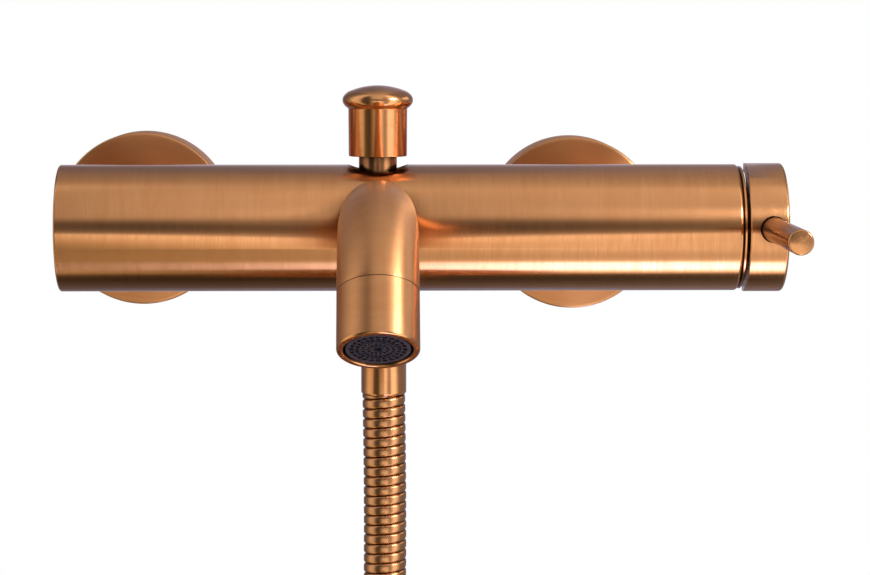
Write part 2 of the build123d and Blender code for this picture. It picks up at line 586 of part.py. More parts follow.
NUT_LEFT = 191.3            # retaining nut, with six notches for its key
NUT_RIGHT = 195.9
NUT_BORE_R = 10.4
NOTCH_R = 14.4
NOTCH = 2.6
NOTCH_DEPTH = 2.0

with BuildPart() as retaining_nut:
    ring_on(face_x(NUT_LEFT), CORE_R, NUT_BORE_R, NUT_RIGHT - NUT_LEFT)
    with BuildSketch(face_x(NUT_RIGHT)):
        with PolarLocations(NOTCH_R, 6):
            Rectangle(NOTCH, NOTCH)
    extrude(amount=-NOTCH_DEPTH, mode=Mode.SUBTRACT)
save(retaining_nut.part, "retaining_nut")

COVER_R = 20.4
COVER_BORE_R = 14.6
COVER_START = BODY_RIGHT + 0.3
COVER_END = COVER_START + 0.9

with BuildPart() as cover_ring:
    disc_on(face_x(NUT_RIGHT + 0.1), CORE_R, COVER_END - NUT_RIGHT - 0.1)
    disc_on(face_x(COVER_START), COVER_R, COVER_END - COVER_START)
    chamfer(body_rims(cover_ring, COVER_R)[-1], length=0.2)
    disc_on(face_x(NUT_RIGHT), COVER_BORE_R, THROUGH, mode=Mode.SUBTRACT)
save(cover_ring.part, "cover_ring")

# Handle: the cap is fixed on the spindle, and the lever screws into the cap's hub. The back half
# of the cap's rim is cut back at a slant, so that the cap can tip.

CAP_WALL = 2.8
CAP_CAVITY_END = 212.0
HUB_R = 9.0
HUB_LEFT = 201.2
LEVER_HOLE_R = 4.4
LEVER_SHOULDER = 10.0       # in front of the axis, where the lever's thread starts
LEVER_THREAD_R = 3.0
LEVER_THREAD = 7.0
BOSS_R = 5.2                # boss inside the cap that holds the lever
RELIEF = tan(FLOW_TIP + radians(0.7))
RELIEF_DEPTH = 25.0         # further back than the cap's rim
GRUB_X = 205.2
GRUB_R = 2.0
GRUB_LENGTH = 5.0

with BuildPart() as handle_cap:
    disc_on(face_x(CAP_LEFT), CAP_R, CAP_RIGHT - CAP_LEFT)
    fillet(body_rims(handle_cap, CAP_R)[-1], radius=1.0)
    chamfer(body_rims(handle_cap, CAP_R)[0], length=0.3)
    ring_on(face_x(CAP_LEFT), CAP_R - CAP_WALL, HUB_R, CAP_CAVITY_END - CAP_LEFT, mode=Mode.SUBTRACT)
    disc_on(face_x(HUB_LEFT), HUB_R, CAP_LEFT - HUB_LEFT)
    disc_on(face_room(LEVER_X, 0, LEVER_Z), BOSS_R, CAP_R - CAP_WALL / 2)
    with BuildSketch(Plane.XY.offset(-CAP_R - 1)):
        with BuildLine():
            Polyline((CAP_LEFT - 0.5, BODY_Y), (CAP_LEFT, BODY_Y),
                     (CAP_LEFT + RELIEF * RELIEF_DEPTH, BODY_Y + RELIEF_DEPTH),
                     (CAP_LEFT - 0.5, BODY_Y + RELIEF_DEPTH), close=True)
        make_face()
    extrude(amount=THROUGH, mode=Mode.SUBTRACT)
    with BuildSketch(face_x(HUB_LEFT)):
        Rectangle(2 * SPINDLE_HALF + 0.1, 2 * SPINDLE_HALF + 0.1)
    extrude(amount=SPINDLE_END + 0.3 - HUB_LEFT, mode=Mode.SUBTRACT)
    shoulder = face_room(LEVER_X, LEVER_SHOULDER, LEVER_Z)
    disc_on(shoulder, LEVER_HOLE_R, THROUGH, mode=Mode.SUBTRACT)
    disc_on(shoulder, LEVER_THREAD_R + FIT_GAP, -LEVER_THREAD - 0.2, mode=Mode.SUBTRACT)
    disc_on(face_y(GRUB_X, SPINDLE_HALF), GRUB_R, THROUGH, mode=Mode.SUBTRACT)
save(handle_cap.part, "handle_cap")

with BuildPart() as lever_pin:
    disc_on(shoulder.offset(0.02), LEVER_R, LEVER_REACH - LEVER_SHOULDER - 0.02)
    chamfer(lever_pin.faces().sort_by(Axis.Y)[0].edges(), length=0.35)
    disc_on(shoulder.offset(0.02), LEVER_THREAD_R, -LEVER_THREAD)
save(lever_pin.part, "lever_pin")

with BuildPart() as handle_grub_screw:
    disc_on(face_y(GRUB_X, SPINDLE_HALF + 0.02), GRUB_R, GRUB_LENGTH)
    with BuildSketch(face_y(GRUB_X, SPINDLE_HALF + 0.02 + GRUB_LENGTH)):
        RegularPolygon(GRUB_R / 2, 6, major_radius=False)
    extrude(amount=-SOCKET_DEPTH, mode=Mode.SUBTRACT)
save(handle_grub_screw.part, "handle_grub_screw")

# Shower outlet: nipple with a check valve, conical hose nut, washer, and the ferrule in the hose's end

HOSE_NUT_TOP = -25.0
HOSE_NUT_R = 12.0
HOSE_COLLAR_R = 7.55
NUT_OUTLINE = (             # radius and distance from the nut's open end: body, cone, collar
    (0, 0), (HOSE_NUT_R - 0.4, 0), (HOSE_NUT_R, 0.4), (HOSE_NUT_R, 16.0), (HOSE_COLLAR_R, 20.6),
    (HOSE_COLLAR_R, 28.8), (HOSE_R - 0.1, 30.6), (0, 30.6))
NUT_LENGTH = NUT_OUTLINE[-1][1]
NUT_THREAD = 10.5           # depth of the nut's thread; its washer and the ferrule's flange lie behind
NUT_SEAT_DEPTH = 12.5
HOSE_TOP = HOSE_NUT_TOP - NUT_LENGTH
HOSE_BORE_R = 5.0
FERRULE_BOTTOM = HOSE_TOP - 14.4
FERRULE_FLANGE = 1.5
FERRULE_BORE_R = 3.6
WASHER_R = 9.6
WASHER_BORE_R = 5.2
NIPPLE_TOP = -24.4
NIPPLE_FLANGE_R = 11.6
NIPPLE_INSIDE = 6.8         # how far the nipple goes up into the body
NIPPLE_BOTTOM = -33.0
VALVE_R = 6.2               # check valve: body, its bore, and the plate across it with six holes
VALVE_BODY = (-31.0, 11.0)  # bottom and height
VALVE_PLATE = (-26.0, 1.2)
VALVE_BORE_R = 4.4
PLATE_HOLE_R = 0.8
PLATE_HOLES_R = 2.9

with BuildPart() as outlet_nipple:
    disc_on(face_z(HOSE_X, NIPPLE_BOTTOM), G12_R, NIPPLE_TOP - NIPPLE_BOTTOM)
    disc_on(face_z(HOSE_X, NIPPLE_TOP), NIPPLE_FLANGE_R, -NIPPLE_TOP)
    disc_on(face_x(BODY_LEFT), SADDLE_R, BODY_RIGHT - BODY_LEFT, mode=Mode.SUBTRACT)
    disc_on(face_z(HOSE_X, NIPPLE_TOP), OUTLET_HOLE_R, NIPPLE_INSIDE)
    disc_on(face_z(HOSE_X, NIPPLE_BOTTOM), VALVE_R + 0.1, THROUGH, mode=Mode.SUBTRACT)
save(outlet_nipple.part, "outlet_nipple")

with BuildPart() as check_valve:
    ring_on(face_z(HOSE_X, VALVE_BODY[0]), VALVE_R, VALVE_BORE_R, VALVE_BODY[1])
    disc_on(face_z(HOSE_X, VALVE_PLATE[0]), VALVE_BORE_R, VALVE_PLATE[1])
    with BuildSketch(face_z(HOSE_X, VALVE_PLATE[0])):
        with PolarLocations(PLATE_HOLES_R, 6):
            Circle(PLATE_HOLE_R)
    extrude(amount=VALVE_PLATE[1], mode=Mode.SUBTRACT)
save(check_valve.part, "check_valve")

with BuildPart() as hose_washer:
    ring_on(face_z(HOSE_X, NIPPLE_BOTTOM - FIT_GAP), WASHER_R, WASHER_BORE_R, -2.0)
save(hose_washer.part, "hose_washer")


def conical_nut(top, drop):
    """Hose nut, turned: a round body with a G 1/2 thread, a cone, and a collar that the hose leaves."""
    turned([(HOSE_X + r, top - drop * z) for r, z in NUT_OUTLINE], HOSE_AXIS)
    thread = face_z(HOSE_X, top)
    disc_on(thread, G12_R + THREAD_GAP, -drop * NUT_THREAD, mode=Mode.SUBTRACT)
    disc_on(thread, WASHER_R + THREAD_GAP, -drop * NUT_SEAT_DEPTH, mode=Mode.SUBTRACT)
    disc_on(thread, HOSE_BORE_R, -drop * THROUGH, mode=Mode.SUBTRACT)


with BuildPart() as hose_nut:
    conical_nut(HOSE_NUT_TOP, 1)
save(hose_nut.part, "hose_nut")

with BuildPart() as hose_ferrule:
    flange_top = NIPPLE_BOTTOM - FIT_GAP - 2.05
    disc_on(face_z(HOSE_X, flange_top), WASHER_R - 0.2, -FERRULE_FLANGE)
    disc_on(face_z(HOSE_X, flange_top), HOSE_BORE_R - 0.1, FERRULE_BOTTOM - flange_top)
    disc_on(face_z(HOSE_X, FERRULE_BOTTOM), FERRULE_BORE_R, THROUGH, mode=Mode.SUBTRACT)
save(hose_ferrule.part, "hose_ferrule")

# Hose: strip-wound ribs on the straight stretch that hangs from the nut

RIB_PITCH = 3.27
RIBS = 20
RIB_SHAPE = ((0.0, 6.7), (0.45, 7.05), (1.6, HOSE_R + 0.06), (2.85, 7.05))  # along the rib, radius
straight_bottom = HOSE_TOP - RIB_PITCH * RIBS

with BuildPart() as shower_hose:
    for rib in range(RIBS):
        for along, radius in RIB_SHAPE:
            with BuildSketch(face_z(HOSE_X, HOSE_TOP - RIB_PITCH * rib - along)):
                Circle(radius)
    with BuildSketch(face_z(HOSE_X, straight_bottom)):
        Circle(RIB_SHAPE[0][1])
    loft(ruled=True)
    disc_on(face_z(HOSE_X, straight_bottom), HOSE_BORE_R, THROUGH, mode=Mode.SUBTRACT)
save(shower_hose.part, "shower_hose")

# The rest of the hose, put away as a tied coil below: one bend out, then turns side by side

BEND_R = 70.0
COIL_R = 67.2
COIL_PITCH = 15.4           # how far each turn lies in front of the one before
COIL_TURNS = 3              # whole turns, and then on to the coil's left side
TAIL = 34.0                 # the end hangs down beside the turns, so that its nut stays free
TAIL_SHIFT = 6.0            # the end stands out in front of the last turn
COIL_TUBE_R = 7.0           # middle of the ribs' height
turn_out = acos(BEND_R / (BEND_R + COIL_R))
coil_z = straight_bottom - (BEND_R + COIL_R) * sin(turn_out)
coil_start = pi - turn_out
coil_end = pi + 2 * pi * COIL_TURNS
STEPS = 4 * COIL_TURNS + 1


def on_coil(step):
    """Point and direction of the hose's centreline at one step of the coil."""
    angle = coil_start + (coil_end - coil_start) * step / STEPS
    shift = TAIL_SHIFT if step == STEPS else 0
    lead = COIL_PITCH / (2 * pi)
    point = Vector(HOSE_X + COIL_R * cos(angle), BODY_Y - lead * (angle - coil_start) - shift,
                   coil_z + COIL_R * sin(angle))
    flat = step in (0, STEPS)
    direction = Vector(-COIL_R * sin(angle), 0 if flat else -lead, COIL_R * cos(angle))
    return point, direction.normalized()


def biarc(p0, t0, p1, t1):
    """Two arcs that leave p0 along t0 and reach p1 along t1."""
    chord = p1 - p0
    both = t0 + t1
    a = 4 - both.dot(both)
    b = 2 * chord.dot(both)
    c = -chord.dot(chord)
    d = (-b + sqrt(b * b - 4 * a * c)) / (2 * a)
    middle = (p0 + t0 * d + p1 - t1 * d) * 0.5
    first = TangentArc(p0, middle, tangent=t0)
    second = TangentArc(middle, p1, tangent=(first % 1))
    return [first, second]


with BuildPart() as shower_hose_coil:
    with BuildLine() as coil_path:
        top = Vector(HOSE_X, BODY_Y, straight_bottom)
        joint, joint_way = on_coil(0)
        arcs = [TangentArc(top, joint, tangent=(0, 0, -1))]
        for step in range(STEPS):
            p0, t0 = on_coil(step)
            p1, t1 = on_coil(step + 1)
            arcs += biarc(p0, t0, p1, t1)
        tail_top = arcs[-1] @ 1
        Line(tail_top, tail_top - Vector(0, 0, TAIL))
    with BuildSketch(face_z(HOSE_X, straight_bottom)):
        Circle(COIL_TUBE_R)
    sweep(path=coil_path.wires()[0])
save(shower_hose_coil.part, "shower_hose_coil")

coil_wire = coil_path.wires()[0]
coil_section = pi * COIL_TUBE_R ** 2
print("hose length", round(RIB_PITCH * RIBS + coil_wire.length, 1), "wanted", HOSE_LENGTH)
print("coil volume", round(shower_hose_coil.part.volume), "section by length",
      round(coil_section * coil_wire.length))
print("radii of the coil's arcs", [round(arc.radius, 1) for arc in arcs])
SAMPLES = 900
samples = [coil_wire.position_at(i / SAMPLES) for i in range(SAMPLES + 1)]
apart = int(3 * HOSE_R * SAMPLES / coil_wire.length)
least = min((p - q).length for i, p in enumerate(samples) for q in samples[i + apart:])
print("least gap between turns", round(least - 2 * COIL_TUBE_R, 2))

# Tie round the turns, on the coil's right side, and the nut and washer at the hose's far end

TIE_THICK = 1.4
TIE_WIDTH = 8.0
tie_first = BODY_Y - COIL_PITCH * (2 * pi - coil_start) / (2 * pi)
tie_last = tie_first - COIL_PITCH * (COIL_TURNS - 1)
tie_x = HOSE_X + COIL_R
tie_inside = HOSE_R + 0.5

with BuildPart() as hose_tie:
    middle = Plane(origin=(tie_x, (tie_first + tie_last) / 2, coil_z - TIE_WIDTH / 2), x_dir=(0, 1, 0),
                   z_dir=(0, 0, 1))
    with BuildSketch(middle):
        SlotOverall(tie_first - tie_last + 2 * (tie_inside + TIE_THICK), 2 * (tie_inside + TIE_THICK))
        SlotOverall(tie_first - tie_last + 2 * tie_inside, 2 * tie_inside, mode=Mode.SUBTRACT)
    extrude(amount=TIE_WIDTH)
save(hose_tie.part, "hose_tie")

end = coil_wire @ 1
to_end = Location((end.X - HOSE_X, end.Y - BODY_Y, 0))
far_open_end = end.Z - NUT_LENGTH

with BuildPart() as hose_end_nut:
    conical_nut(far_open_end, -1)
save(hose_end_nut.part.moved(to_end), "hose_end_nut")

with BuildPart() as hose_end_washer:
    ring_on(face_z(HOSE_X, far_open_end + NUT_THREAD), WASHER_R, WASHER_BORE_R, 1.95)
save(hose_end_washer.part.moved(to_end), "hose_end_washer")
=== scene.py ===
"""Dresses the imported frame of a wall-mounted bath mixer: copper pieces, a strip-wound hose and a stage.

Frame, in metres: X runs along the body to the lever's end, Y runs from the room into the wall, Z is up.
"""

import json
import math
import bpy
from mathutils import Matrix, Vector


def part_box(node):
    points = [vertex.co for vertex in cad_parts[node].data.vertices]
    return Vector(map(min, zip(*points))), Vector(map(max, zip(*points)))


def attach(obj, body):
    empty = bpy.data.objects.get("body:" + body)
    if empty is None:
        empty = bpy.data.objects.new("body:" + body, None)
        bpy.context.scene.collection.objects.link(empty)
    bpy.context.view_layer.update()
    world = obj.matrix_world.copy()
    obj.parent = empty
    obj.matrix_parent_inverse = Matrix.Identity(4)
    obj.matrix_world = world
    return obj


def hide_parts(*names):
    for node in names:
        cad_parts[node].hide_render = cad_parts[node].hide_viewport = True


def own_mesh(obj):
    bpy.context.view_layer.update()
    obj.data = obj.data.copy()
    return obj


bl_info = {
    "name": "Bath Mixer Dressing",
    "version": (1, 0, 0),
    "blender": (4, 5, 0),
    "location": "3D View > Sidebar > Mixer",
    "description": "Builds the visible pieces of a wall-mounted bath mixer on its packed CAD frame",
    "category": "Object",
}

import bpy
from mathutils import Matrix, Vector

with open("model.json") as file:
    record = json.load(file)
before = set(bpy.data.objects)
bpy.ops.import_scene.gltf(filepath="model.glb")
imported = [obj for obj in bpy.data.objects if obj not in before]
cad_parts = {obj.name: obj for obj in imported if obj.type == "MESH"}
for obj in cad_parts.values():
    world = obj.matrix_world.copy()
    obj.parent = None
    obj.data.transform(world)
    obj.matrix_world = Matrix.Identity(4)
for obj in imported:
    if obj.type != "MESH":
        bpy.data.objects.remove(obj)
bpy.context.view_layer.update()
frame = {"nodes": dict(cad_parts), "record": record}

# Places of the real object that every piece shares
BODY_Y = -0.065
SPOUT_X = 0.082
HOSE_X = 0.0838
INLET_X = {"hot": 0.0, "cold": 0.150}
ROSETTE_Z = {"hot": 0.0, "cold": -0.0017}
LEVER_X, LEVER_Z = 0.2109, 0.0007
SPOUT_ROOT_Z = 0.004
SPOUT_TILT = math.radians(57.3)
OUTLET_LENGTH = 0.0192
MOUTH = Vector((SPOUT_X, BODY_Y - 0.098, -0.0296))
FLOW = Vector((0, -math.cos(SPOUT_TILT), -math.sin(SPOUT_TILT)))
SEAM = MOUTH - OUTLET_LENGTH * FLOW
ALONG_X, ALONG_Y, ALONG_Z = Vector((1, 0, 0)), Vector((0, 1, 0)), Vector((0, 0, 1))
BODY, DIVERTER = (0, BODY_Y, 0), (SPOUT_X, BODY_Y, 0)


def linear(hex_code):
    """Linear colour of an sRGB hex code."""
    parts = [int(hex_code[i:i + 2], 16) / 255 for i in (1, 3, 5)]
    return [c / 12.92 if c <= 0.04045 else ((c + 0.055) / 1.055) ** 2.4 for c in parts]


def length_property(name, description, default):
    """Length that the panel shows."""
    return bpy.props.FloatProperty(name=name, description=description, default=default, unit="LENGTH")


def colour_property(name, description, hex_code):
    """Colour that the panel shows, from its sRGB hex code."""
    return bpy.props.FloatVectorProperty(
        name=name, description=description, default=linear(hex_code), subtype="COLOR")


class MixerSizes(bpy.types.PropertyGroup):
    """Sizes that a user would change."""
    body_radius: length_property("Body radius", "Outer radius of the mixer's body", 0.021)
    body_left: length_property("Body left end", "X of the body's left end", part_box("body_shell")[0][0])
    body_right: length_property("Body right end", "X of the body's right end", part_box("body_shell")[1][0])
    body_wall: length_property("Body wall", "Thickness of the body's tube", 0.0034)
    spout_radius: length_property("Spout radius", "Outer radius of the spout", 0.0125)
    spout_wall: length_property("Spout wall", "Thickness of the spout's tube", 0.003)
    rosette_radius: length_property("Rosette radius", "Radius of each wall rosette", 0.030)
    hose_length: length_property("Hose length", "Length of the shower hose", 1.5)
    hose_diameter: length_property("Hose diameter", "Outer diameter of the hose's ribs", 0.0143)
    rib_pitch: length_property("Rib pitch", "Distance from one hose rib to the next", 0.00327)


class MixerColours(bpy.types.PropertyGroup):
    """Colours of the finishes, and of the room round the object."""
    copper: colour_property("Copper", "Brushed copper coating", "#DDA06E")
    copper_deep: colour_property("Deep copper", "Coating where the brushing is densest", "#CF8C57")
    # painted shade: dark colour for the shade in the hose's seams
    copper_groove: colour_property("Groove copper", "Coating in the hose's seams", "#7A4A2B")
    brass: colour_property("Brass", "Machined brass", "#D9B777")
    steel: colour_property("Steel", "Stainless steel", "#B9BBBE")
    rubber: colour_property("Rubber", "Black sealing rubber", "#1C1C1E")
    foam: colour_property("Foam", "Closed-cell foam seal", "#CFCDC8")
    aerator: colour_property("Aerator", "Dark moulded aerator", "#2F2C38")
    moulded: colour_property("Cartridge plastic", "Pale moulded plastic", "#D8D6D0")
    ceramic: colour_property("Ceramic", "Lapped ceramic discs", "#EEEAE0")
    strap: colour_property("Strap", "Woven hose tie", "#232326")
    floor: colour_property("Floor", "Pale studio floor", "#F4F4F4")


# Shader nodes

def add_node(tree, kind, inputs=None, **settings):
    """Adds a node, sets its properties, and sets or links its inputs."""
    node = tree.nodes.new(kind)
    for name, value in settings.items():
        setattr(node, name, value)
    for name, value in (inputs or {}).items():
        if isinstance(value, bpy.types.NodeSocket):
            tree.links.new(value, node.inputs[name])
        else:
            node.inputs[name].default_value = value
    return node


def new_material(name):
    """Empty material with its output node."""
    material = bpy.data.materials.new(name)
    material.use_nodes = True
    tree = material.node_tree
    tree.nodes.clear()
    return material, tree, tree.nodes.new("ShaderNodeOutputMaterial")


def solid_colour(colour, share=1.0):
    """Colour with its alpha, for a socket; share makes it darker."""
    return [c * share for c in colour] + [1.0]


def object_place(tree):
    """Place on a piece, in metres of the shared frame."""
    return add_node(tree, "ShaderNodeTexCoord").outputs["Object"]


def maths(tree, operation, *values):
    """Result of a sum on numbers."""
    return add_node(tree, "ShaderNodeMath", dict(enumerate(values)), operation=operation).outputs[0]


def vectors(tree, operation, *values, **named):
    """Result of a sum on vectors."""
    return add_node(tree, "ShaderNodeVectorMath", {**dict(enumerate(values)), **named},
                    operation=operation).outputs[0]


def ranged(tree, value, low, high, to_low=0.0, to_high=1.0, **settings):
    """Value mapped from one range to another, and held at its ends."""
    return add_node(tree, "ShaderNodeMapRange", {
        "Value": value, "From Min": low, "From Max": high, "To Min": to_low, "To Max": to_high},
        **settings).outputs[0]


def mixed(tree, share, low, high):
    """Colour between two colours."""
    return add_node(tree, "ShaderNodeMix", {"Factor": share, 6: low, 7: high},
                    data_type="RGBA").outputs[2]


def noise(tree, at, detail, roughness=0.5, scale=1.0, w=None):
    """Noise at a place, or at a place and a fourth coordinate."""
    inputs = {"Vector": at, "Scale": scale, "Detail": detail, "Roughness": roughness}
    if w is None:
        return add_node(tree, "ShaderNodeTexNoise", inputs).outputs["Fac"]
    return add_node(tree, "ShaderNodeTexNoise", {**inputs, "W": w}, noise_dimensions="4D").outputs["Fac"]


def bumped(tree, height, strength, distance):
    """Normal of a surface that rises and falls with height."""
    return add_node(tree, "ShaderNodeBump", {
        "Height": height, "Strength": strength, "Distance": distance}).outputs[0]


def surface(tree, output, inputs):
    """Principled surface with the given inputs, as the material's surface."""
    shader = add_node(tree, "ShaderNodeBsdfPrincipled", inputs)
    tree.links.new(shader.outputs[0], output.inputs[0])


def round_pattern(tree, axis, centre, fine, coarse):
    """Coordinates that run fast along a turned piece and out from its axis, and slowly round it."""
    upright = Vector(axis).rotation_difference(ALONG_Z).to_matrix()
    centred = add_node(tree, "ShaderNodeMapping", {
        "Vector": object_place(tree), "Location": -(upright @ Vector(centre)),
        "Rotation": upright.to_euler()})
    x, y, z = add_node(tree, "ShaderNodeSeparateXYZ", {"Vector": centred.outputs[0]}).outputs
    across = add_node(tree, "ShaderNodeCombineXYZ", {0: x, 1: y}).outputs[0]
    round_it = vectors(tree, "SCALE", vectors(tree, "NORMALIZE", across), Scale=coarse)
    lift = add_node(tree, "ShaderNodeCombineXYZ", {2: maths(tree, "MULTIPLY", z, fine)}).outputs[0]
    reach = add_node(tree, "ShaderNodeVectorMath", {0: across}, operation="LENGTH").outputs["Value"]
    return vectors(tree, "ADD", round_it, lift), maths(tree, "MULTIPLY", reach, fine)


def unrolled_pattern(tree, fine, coarse):
    """The same on a piece whose UV map holds metres along it and metres round it."""
    place = add_node(tree, "ShaderNodeUVMap", uv_map="Along")
    return vectors(tree, "MULTIPLY", place.outputs[0], (fine, coarse, 1)), 0.0


def round_grain(tree, axis, centre):
    """Direction across the scratches of a turned piece: along it on its side, and out on its faces."""
    out = vectors(tree, "SUBTRACT", object_place(tree), centre)
    face = add_node(tree, "ShaderNodeNewGeometry")
    return vectors(tree, "CROSS_PRODUCT", vectors(tree, "CROSS_PRODUCT", axis, out), face.outputs["Normal"])


def painted_gap_shade(tree, colour, reach):
    """The colour with painted shade: darker where other surfaces stand close, in gaps, recesses and crevices.
    """
    # painted shade: ambient occlusion within reach darkens the colour
    near = add_node(tree, "ShaderNodeAmbientOcclusion", {"Distance": reach}, samples=8)
    return vectors(tree, "SCALE", colour, Scale=ranged(tree, near.outputs["AO"], 0.2, 0.85, 0.12, 1.0))


# reach: how far the painted shade in gaps looks for other surfaces
def brushed_metal(name, light, deep, pattern, across, roughness=(0.16, 0.23), depth=0.000025,
                  reach=0.009, drawn_out=0.85):
    """Brushed metal. The belt leaves fine scratches round the piece, which draw each reflection out
    along it, and slow changes in tone where it pressed harder."""
    material, tree, output = new_material(name)
    fine_at, fine_w = pattern(tree, 2400, 2.5)      # scratches about 0.4 mm apart, coarser than real ones
    slow_at, slow_w = pattern(tree, 260, 1.2)       # tone that changes every few millimetres
    fine = noise(tree, fine_at, 2.0, 0.6, w=fine_w)
    slow = noise(tree, slow_at, 3.0, 0.55, w=slow_w)
    share = maths(tree, "ADD", ranged(tree, slow, 0.35, 0.65, 0.0, 0.3),
                  ranged(tree, fine, 0.3, 0.7, 0.0, 0.25))
    colour = mixed(tree, share, solid_colour(light), solid_colour(deep))
    surface(tree, output, {
        # painted shade: the colour darkens where other surfaces stand within reach
        "Base Color": painted_gap_shade(tree, colour, reach), "Metallic": 1.0,
        "Roughness": ranged(tree, fine, 0.3, 0.7, *roughness),
        "Normal": bumped(tree, fine, 0.5, depth), "Anisotropic": drawn_out, "Tangent": across(tree)})
    return material


def strip_metal(name, light, seam_shade_colour):
    """Strip-wound hose: rolled metal strip with a satin coating, smooth on each rib. Its copper is painted a
    little darker than the body's as shade, with painted shade dark in the seam between ribs and in the gaps
    between its turns.
    UV: metres along the strip, and 0 to 1 across one rib."""
    material, tree, output = new_material(name)
    place = add_node(tree, "ShaderNodeUVMap", uv_map="Along").outputs[0]
    rib = add_node(tree, "ShaderNodeSeparateXYZ", {"Vector": place}).outputs[1]
    off_middle = maths(tree, "ABSOLUTE", maths(tree, "SUBTRACT", rib, 0.5))
    # painted shade: mask of the seam between two ribs
    seam_shade_mask = ranged(tree, off_middle, 0.41, 0.49, interpolation_type="SMOOTHSTEP")
    drawn = vectors(tree, "MULTIPLY", place, (60, 18, 1))       # lines the rollers draw along the strip
    lines = noise(tree, drawn, 3.0, 0.6)
    # painted shade: the rib's copper at 0.82 of the body's, and the dark seam colour in the groove
    colour = mixed(tree, seam_shade_mask, solid_colour(light, 0.82), solid_colour(seam_shade_colour))
    surface(tree, output, {
        # painted shade in the gaps between the hose's turns
        "Base Color": painted_gap_shade(tree, colour, 0.004), "Metallic": 1.0,
        "Roughness": ranged(tree, lines, 0.3, 0.7, 0.15, 0.27),
        "Normal": bumped(tree, lines, 0.35, 0.00005)})
    return material


def grained(name, colour, grain, roughness, depth, spread=0.12, metallic=0.0, kind="ShaderNodeTexNoise"):
    """Moulded, cast or cut surface: an even grain of a real size, in metres, with a slight change in tone."""
    material, tree, output = new_material(name)
    pattern = add_node(tree, kind, {"Vector": object_place(tree), "Scale": 1 / grain})
    fac = pattern.outputs["Fac" if "Fac" in pattern.outputs else "Distance"]
    surface(tree, output, {
        "Base Color": mixed(tree, fac, solid_colour(colour, 1 - spread), solid_colour(colour, 1 + spread)),
        "Metallic": metallic, "Roughness": ranged(tree, fac, 0.0, 1.0, roughness - 0.06, roughness + 0.06),
        "Normal": bumped(tree, fac, 0.4, depth)})
    return material


MATERIALS = {}


def finish_of(name, make):
    """One finish, made the first time that a piece asks for it."""
    if name not in MATERIALS:
        MATERIALS[name] = make(name)
    return MATERIALS[name]


def turned_metal(name, light, deep, axis, centre, *look, **more):
    """Metal whose scratches or turned rings run round the given axis."""
    return finish_of(name, lambda name: brushed_metal(
        name, light, deep,
        lambda tree, fine, coarse: round_pattern(tree, axis, centre, fine, coarse),
        lambda tree: round_grain(tree, axis, centre), *look, **more))


# reach sets how far the painted shade in gaps reaches
def copper(axis, centre, label, roughness=(0.16, 0.23), reach=0.009, drawn_out=0.85):
    """Brushed copper coating over brass, its scratches round the given axis."""
    colours = bpy.context.scene.mixer_colours
    return turned_metal("brushed_copper_" + label, colours.copper, colours.copper_deep, axis, centre,
                        roughness, reach=reach, drawn_out=drawn_out)


def spout_copper():
    """Brushed copper coating whose scratches run round the bent spout."""
    colours = bpy.context.scene.mixer_colours
    return finish_of("brushed_copper_spout", lambda name: brushed_metal(
        name, colours.copper, colours.copper_deep,
        lambda tree, fine, coarse: unrolled_pattern(tree, fine, 60),
        lambda tree: add_node(tree, "ShaderNodeTangent", direction_type="UV_MAP",
                              uv_map="Along").outputs[0], (0.36, 0.44)))


def brass(axis, centre, label):
    """Machined brass: turned rings about the axis, brighter and rougher than the brushed coating."""
    light = bpy.context.scene.mixer_colours.brass
    return turned_metal("turned_brass_" + label, light, [0.85 * c for c in light], axis, centre,
                        (0.25, 0.36), 0.00003)


def plain_finish(slot):
    """Finish of the pieces that are moulded, cut or sintered, by the record's slot."""
    colours = bpy.context.scene.mixer_colours
    makers = {
        # EPDM sealing rubber, moulded and matte
        "rubber": lambda name: grained(name, colours.rubber, 0.0006, 0.6, 0.00004),
        # closed-cell polyethylene foam: cells of about a millimetre
        "foam": lambda name: grained(name, colours.foam, 0.0011, 0.85, 0.00025,
                                     kind="ShaderNodeTexVoronoi"),
        # glass-filled moulding of the cartridge and waterway: a fine grey fleck
        "cartridge_plastic": lambda name: grained(name, colours.moulded, 0.0008, 0.5, 0.00003, 0.06),
        # acetal of the aerator, spark-eroded mould finish
        "aerator_plastic": lambda name: grained(name, colours.aerator, 0.00045, 0.32, 0.00003, 0.15),
        # lapped alumina discs: nearly smooth
        "ceramic": lambda name: grained(name, colours.ceramic, 0.0005, 0.2, 0.00001, 0.03),
        # stainless screws, pins and spring wire: drawn, with a faint grain
        "steel": lambda name: grained(name, colours.steel, 0.0004, 0.3, 0.00001, 0.08, metallic=1.0),
    }
    return finish_of(slot, makers[slot])


def paint(piece, material):
    """Gives a whole piece one finish."""
    piece.data.materials.clear()
    piece.data.materials.append(material)


# Modelling

def clear_selection():
    """Nothing selected, in object mode."""
    if bpy.context.mode != "OBJECT":
        bpy.ops.object.mode_set(mode="OBJECT")
    bpy.ops.object.select_all(action="DESELECT")


def activate(piece):
    """Makes one piece the only one selected."""
    clear_selection()
    piece.select_set(True)
    bpy.context.view_layer.objects.active = piece


def edit_all():
    """The active piece in edit mode, with everything selected."""
    bpy.ops.object.mode_set(mode="EDIT")
    bpy.ops.mesh.select_all(action="SELECT")


def face_outwards():
    """In edit mode: turns every face's normal outwards, and goes back to object mode."""
    bpy.ops.mesh.select_all(action="SELECT")
    bpy.ops.mesh.normals_make_consistent(inside=False)
    bpy.ops.object.mode_set(mode="OBJECT")


WELD = 0.000002     # points closer than this are one point


def newest(name):
    """The primitive that was just added, named, with its place applied to its mesh."""
    piece = bpy.context.active_object
    piece.name = name
    piece.data.name = name
    bpy.ops.object.transform_apply(location=True, rotation=True, scale=True)
    return piece


